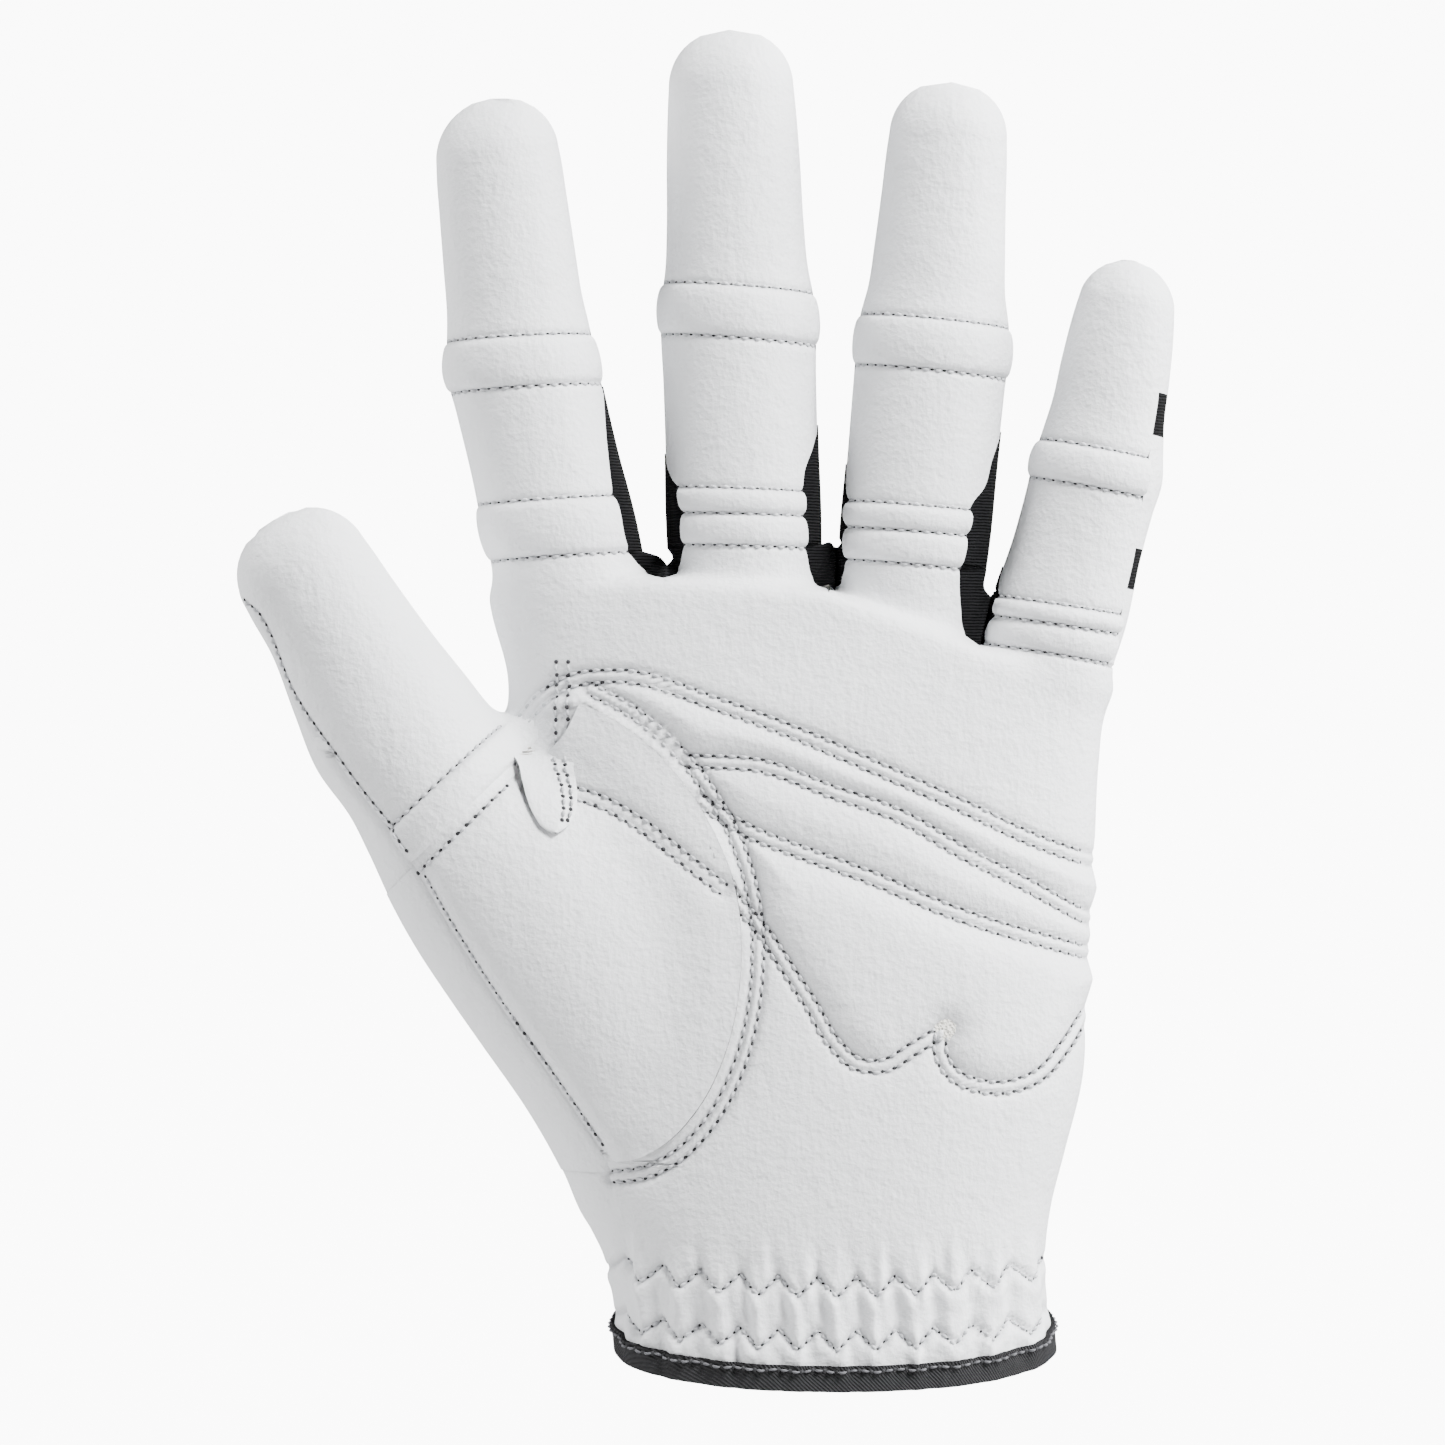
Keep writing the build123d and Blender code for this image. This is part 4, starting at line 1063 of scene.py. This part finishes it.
root_at = np.linspace(-69.5, THUMB_START + 0.8, 100)
origin, slope = thumb_rows(root_at)
seam_angle, _ = meets(origin, slope, SEAM, -1)
behind, _ = meets(origin, slope, LEFT_HIDDEN[1], 1)
points, normals, groove_shade_mask = thumb_patch(root_at, -np.pi - behind, seam_angle + 0.05, 60, False)
tuck = 0.15 - 0.75 * smooth((np.linspace(0, 1, 60) - 0.955) / 0.04)
piece_of("thumb_root_back_leather", [(points + tuck[:, None] * normals, normals, groove_shade_mask)], 0.8, LEATHER, "hand",
         replaces=["thumb_root_back_leather"], inner=FLESH)

below = SEAM[SEAM[:, 1] < 81]
grid = between(below, ARC, 64, 120)
top = drawn([(-70, 80.8), (-61.6, 89), (-54, 96.3), (-50, 97.5), (-45, 101), (-42, 107)])
top = np.stack([np.interp(np.linspace(0, 1, 64), np.linspace(0, 1, len(top)), column) for column in top.T], -1)
share = np.linspace(0, 1, 120)[None, :, None] ** 2
grid = grid + share * (top - grid[:, -1])[:, None]
points, normals = draped(grid[..., 0], grid[..., 1], -1, False)
edge, hinge = distance_to(ARC, grid[..., 0], grid[..., 1]), distance_to(top[:44], grid[..., 0], grid[..., 1])
HEEL_TOP = drawn([(-50.5, 92.8), (-45, 92.3), (-39.2, 90.8), (-32.5, 87.2), (-25.5, 81.8), (-18.6, 76.4)])
upper = distance_to(HEEL_TOP, grid[..., 0], grid[..., 1])
swell = 1.0 * (1 - np.exp(-(edge / 4.5) ** 2)) * smooth(hinge / 6) + 0.95 * np.exp(-(edge / 7) ** 2)
swell = swell - 0.42 * np.exp(-((upper - 1) / 0.42) ** 2) - 0.5 * np.exp(-(upper / 2.6) ** 2) - 0.4 * np.exp(-((hinge - 2.0) / 0.6) ** 2)
side_seam = distance_to(below, grid[..., 0], grid[..., 1])
swell = swell * smooth(side_seam / 4) - 0.25 * np.exp(-(side_seam / 1.0) ** 2)
points = points + swell[..., None] * normals
# Painted shade for the groove of the heel's stitched line and beside its side seam.
groove_shade_mask = 0.8 * np.exp(-((upper - 1) / 0.42) ** 2) + 0.6 * np.exp(-(side_seam / 0.6) ** 2)
heel = (points, outward(points), groove_shade_mask)
piece_of("thumb_heel_leather", [heel], 0.8, LEATHER, "hand", replaces=["thumb_heel_leather"], inner=FLESH)


def on_patch(patch, row_share=None, column_share=None):
    """Run of points and normals along one row or one column of a patch."""
    points, normals = patch[0], patch[1]
    if row_share is not None:
        number = int(round(row_share * (len(points) - 1)))
        return points[number], normals[number]
    number = int(round(column_share * (points.shape[1] - 1)))
    return points[:, number], normals[:, number]




def heel_run(line):
    """Run of stitching on the heel piece over a line (x, z)."""
    points, normals = draped(*np.asarray(line).T, -1, False)
    spot = ((heel[0].reshape(-1, 3)[None] - points[:, None])[..., [0, 2]] ** 2).sum(-1).argmin(1)
    return points + ((heel[0].reshape(-1, 3)[spot] - points) * normals).sum(-1, keepdims=True) * normals, normals


fold_line = np.stack([np.linspace(-68.9, -54.2, 60), np.linspace(78.9, 93.2, 60)], -1)
threads("heel_stitching", [heel_run(drawn(beside(HEEL_TOP, away), 0.5)) for away in (-1, 1)] + [heel_run(fold_line)]
        + [heel_run(beside(below, -0.9)[3:-3])])

# ---- Thumb crotch strip -------------------------------------------------------------------------
# A short tongue of leather that closes the corner between the thumb and the palm.
left = drawn([(-53.6, 109), (-54.2, 103), (-53.6, 98), (-52.2, 93), (-50.5, 88.6), (-48.5, 85.8), (-47.0, 85.0)])
right = drawn([(-43.4, 109), (-43.0, 98), (-42.8, 91), (-43.3, 88), (-44.8, 85.8), (-46.2, 85.0)])
grid = between(left, right, 30, 60)
points, normals = draped(grid[..., 0], grid[..., 1], -1, False)
lift = 2.2 * smooth((101 - grid[..., 1]) / 6) - 0.5
lift = lift + 0.5 * np.sin(np.pi * np.linspace(0, 1, 30))[:, None] ** 0.6 * smooth((98 - grid[..., 1]) / 6)
points = points + lift[..., None] * normals
tongue = (points, outward(points), None)
piece_of("thumb_crotch_strip", [tongue], 0.8, LEATHER, "hand", replaces=["thumb_crotch_strip"], inner=FLESH)
runs = []
for share, x in ((0.70, -46.3), (0.88, -44.3)):
    row = int(share * 29)
    runs.append((tongue[0][row, 20:-7], tongue[1][row, 20:-7]))
    runs.append(draped(np.full(27, x), np.linspace(113.8, 97.8, 27), -1))
threads("tongue_stitching", runs)

# ---- Cuff binding -------------------------------------------------------------------------------
# Dark grey woven tape folded over the wrist edge and sewn through.
tape = Finish("black_binding")
where = tape.place()
weave = tape.node("ShaderNodeTexWave", "Fac", dict(bands_direction="DIAGONAL"), Vector=where, Scale=0.9, Distortion=0.6)
tape.shader.inputs["Specular IOR Level"].default_value = 0.2
BINDING = tape.finish(Base_Color=tape.mix(weave * 0.5 + tape.noise(where, 1.5) * 0.5, (0.008, 0.008, 0.009, 1), (0.026, 0.026, 0.028, 1)),
                      Roughness=0.8, Normal=tape.bump(weave, 0.2))


def cuff_rows(strip_, heights):
    """Patch whose rows run at heights up the leather from the wrist edge; below it they hang straight."""
    first = strip_.points[:40]
    up = np.concatenate([np.zeros((1, COLUMNS)), np.cumsum(np.linalg.norm(np.diff(first, axis=0), axis=-1), axis=0)])
    rows, facing = [], []
    for height in heights:
        if height <= 0:
            rows.append(first[0] + height * unit(first[1] - first[0]))
            facing.append(strip_.normals[0])
            continue
        number = np.array([np.searchsorted(up[:, c], height) for c in range(COLUMNS)]).clip(1, 39)
        c = np.arange(COLUMNS)
        t = ((height - up[number - 1, c]) / (up[number, c] - up[number - 1, c]))[:, None]
        rows.append(first[number - 1, c] * (1 - t) + first[number, c] * t)
        facing.append(strip_.normals[number, c])
    return np.array(rows), unit(np.array(facing)), None


heights = np.array([-0.9, -0.5, 0, 0.5, 1, 1.5, 1.9, 2.25, 2.6, 3.0, 3.4])
loop = [cuff_rows(s, heights) for s in FRONT + BACK]
for a, b in ((0, 1), (1, 2), (2, 3), (4, 5), (6, 7)):
    for k in (0, 1):
        shared = (loop[a][k][:, -1] + loop[b][k][:, 0]) / 2
        loop[a][k][:, -1] = loop[b][k][:, 0] = shared
piece_of("cuff_binding", loop, 2.0, BINDING, "hand", replaces=["cuff_binding"], lay=0.6)
runs = [(p[8] + 0.6 * n[8], n[8]) for p, n, _ in loop]
threads("cuff_stitching", runs, pitch=1.9, length=1.4, wide=0.24, thread=plain("dark_thread", (0.10, 0.10, 0.11), 0.7))

# ---- Slit binding -------------------------------------------------------------------------------
# Black tape round both edges of the slit, over its rounded top.
turn = np.linspace(np.pi, 0, 25)
round_top = [(1.7 * np.cos(a), SLIT_TOP - 1.7 + 1.7 * np.sin(a)) for a in turn]
path = np.array([(-1.7, z) for z in np.linspace(2.6, SLIT_TOP - 1.8, 60)] + round_top + [(1.7, z) for z in np.linspace(SLIT_TOP - 1.8, 2.6, 60)])
grid = np.stack([beside(path, away) for away in np.linspace(-0.4, 3.0, 9)])
points, normals = draped(grid[..., 0], grid[..., 1], 1, False)
piece_of("slit_binding", [(points, normals, None)], 1.6, BINDING, "hand", replaces=["slit_binding"], lay=0.55)

# ---- Wrist elastics -----------------------------------------------------------------------------
# Two narrow woven elastics inside the palm, one under each zigzag row.
webbing = Finish("elastic")
where = webbing.place()
ELASTIC = webbing.finish(Base_Color=webbing.mix(webbing.cells(where, 1.1), (0.74, 0.74, 0.73, 1), (0.86, 0.86, 0.85, 1)), Roughness=0.85,
                         Normal=webbing.bump(webbing.cells(where, 1.4), 0.25))
bands = [laid(between(np.array([(-33, low), (33, low)]), np.array([(-33, low + 5), (33, low + 5)]), 8, 80), -1) for low in (8.0, 16.5)]
for word, band in zip(("lower", "upper"), bands):
    piece_of(f"cuff_elastic_{word}", [band], 0.7, ELASTIC, "hand", replaces=["cuff_elastics"], lay=-1.0)

# ---- Size label ---------------------------------------------------------------------------------
# A small blank satin label sewn inside the back at the wrist.
LABEL = plain("label", (0.80, 0.80, 0.79), 0.45)
patch = laid(between(np.array([(12, 14), (26, 14)]), np.array([(12, 34), (26, 34)]), 20, 16), 1)
piece_of("size_label", [patch], 0.3, LABEL, "hand", replaces=["size_label"], lay=-1.0)

# ---- Closure ------------------------------------------------------------------------------------
# A leather tab sewn down left of the slit crosses it and grips a patch of loops on the other side
# with a patch of hooks.
loops = Finish("loop_tape")
where = loops.place()
LOOPS = loops.finish(Base_Color=loops.mix(loops.noise(where, 1.6, 4.0), (0.55, 0.55, 0.55, 1), (0.82, 0.82, 0.82, 1)), Roughness=1.0,
                     Normal=loops.bump(loops.noise(where, 2.2, 5.0, 0.7), 0.7))
hooks = Finish("hook_tape")
HOOKS = hooks.finish(Base_Color=(0.70, 0.70, 0.69, 1), Roughness=0.6, Normal=hooks.bump(hooks.cells(hooks.place(), 1.1), 0.6))


def oblong(x0, x1, z0, z1, ends=0.0, rows=24, columns=60):
    """Grid of points (x, z) over an oblong whose right end is rounded over a length."""
    x = np.linspace(x0, x1, columns)
    over = np.clip((x - (x1 - ends)) / max(ends, 1e-6), 0, 1) if ends else 0 * x
    half = (z1 - z0) / 2 * (1 - over**2.6) ** (1 / 2.6)
    z = (z0 + z1) / 2 + np.linspace(-1, 1, rows)[:, None] * np.maximum(half, 0.3)
    return np.stack([np.broadcast_to(x, z.shape), z], -1)


piece_of("loop_patch", [laid(oblong(5.2, 27, 14, 35), 1)], 0.7, LOOPS, "hand", replaces=["loop_patch"], lay=0.8)
piece_of("tab_anchor", [laid(oblong(-27.5, -22.0, 13, 36, columns=10), 1)], 2.0, LEATHER, "hand",
         replaces=["tab_anchor"], inner=FLESH, lay=2.0)
tab = laid(oblong(-20.6, 25, 13, 36, 9.0, 30, 90), 1)
piece_of("closure_tab", [tab], 1.0, LEATHER, "tab", replaces=["closure_tab"], inner=FLESH, lay=2.9)
piece_of("hook_patch", [laid(oblong(6.5, 19, 17, 32), 1)], 0.9, HOOKS, "tab", replaces=["hook_patch"], lay=1.85)
inset = oblong(-18.6, 23, 14.6, 34.4, 8.0, 30, 90)
points, normals = draped(inset[..., 0], inset[..., 1], 1)
border = np.concatenate([np.arange(0, 90), 90 * np.arange(1, 30) + 89, 29 * 90 + np.arange(88, -1, -1)])
run = (points + 2.9 * normals).reshape(-1, 3)[border], normals.reshape(-1, 3)[border]
threads("tab_stitching", [run], ride="tab")
threads("anchor_stitching", [(lambda p, n: (p + 2.0 * n, n))(*draped(np.full(60, -24.7), np.linspace(14.5, 34.5, 60), 1))])

# ---- Studio -------------------------------------------------------------------------------------
# A pale floor and a lit pale wall behind it, under large soft lamps.
for name, corners, strength in (("floor", [(-2500, -2500, -600), (2500, -2500, -600), (2500, 2500, -600), (-2500, 2500, -600)], 0.6),
                                ("wall", [(-380, 1600, -260), (380, 1600, -260), (380, 1600, 460), (-380, 1600, 460)], 9.0)):
    stand = mesh_piece(name, np.array(corners, float), [[0, 1, 2, 3]], [plain(f"pale_{name}", (0.93, 0.93, 0.93), 0.7)])
    glow = stand.data.materials[0].node_tree.nodes["Principled BSDF"]
    glow.inputs["Emission Color"].default_value = (1, 1, 1, 1)
    glow.inputs["Emission Strength"].default_value = strength
world = bpy.data.worlds.new("studio")
bpy.context.scene.world = world
world.use_nodes = True
world.node_tree.nodes["Background"].inputs[0].default_value = (0.97, 0.985, 1, 1)
world.node_tree.nodes["Background"].inputs[1].default_value = 0.25
for name, place, power, size in (("key", (0.45, -0.40, 0.70), 27, 0.30), ("left", (-0.75, -0.02, 0.50), 10, 0.5),
                                ("right", (0.75, -0.04, 0.30), 13, 0.5), ("back", (0.3, 0.9, 0.8), 10, 0.5)):
    lamp = bpy.data.lights.new(name, "AREA")
    lamp.energy, lamp.size = power, size
    holder = bpy.data.objects.new(name, lamp)
    bpy.context.scene.collection.objects.link(holder)
    holder.location = place
    holder.rotation_euler = (Vector((-0.02, 0, 0.1)) - Vector(place)).to_track_quat("-Z", "Y").to_euler()
eye = bpy.data.cameras.new("camera")
camera = bpy.data.objects.new("camera", eye)
bpy.context.scene.collection.objects.link(camera)
camera.location, camera.rotation_euler = (-0.01875, -1.2, 0.10375), (np.pi / 2, 0, 0)
eye.sensor_width, eye.lens = 36, 1200 * 36 / 240.8
bpy.context.scene.camera = camera
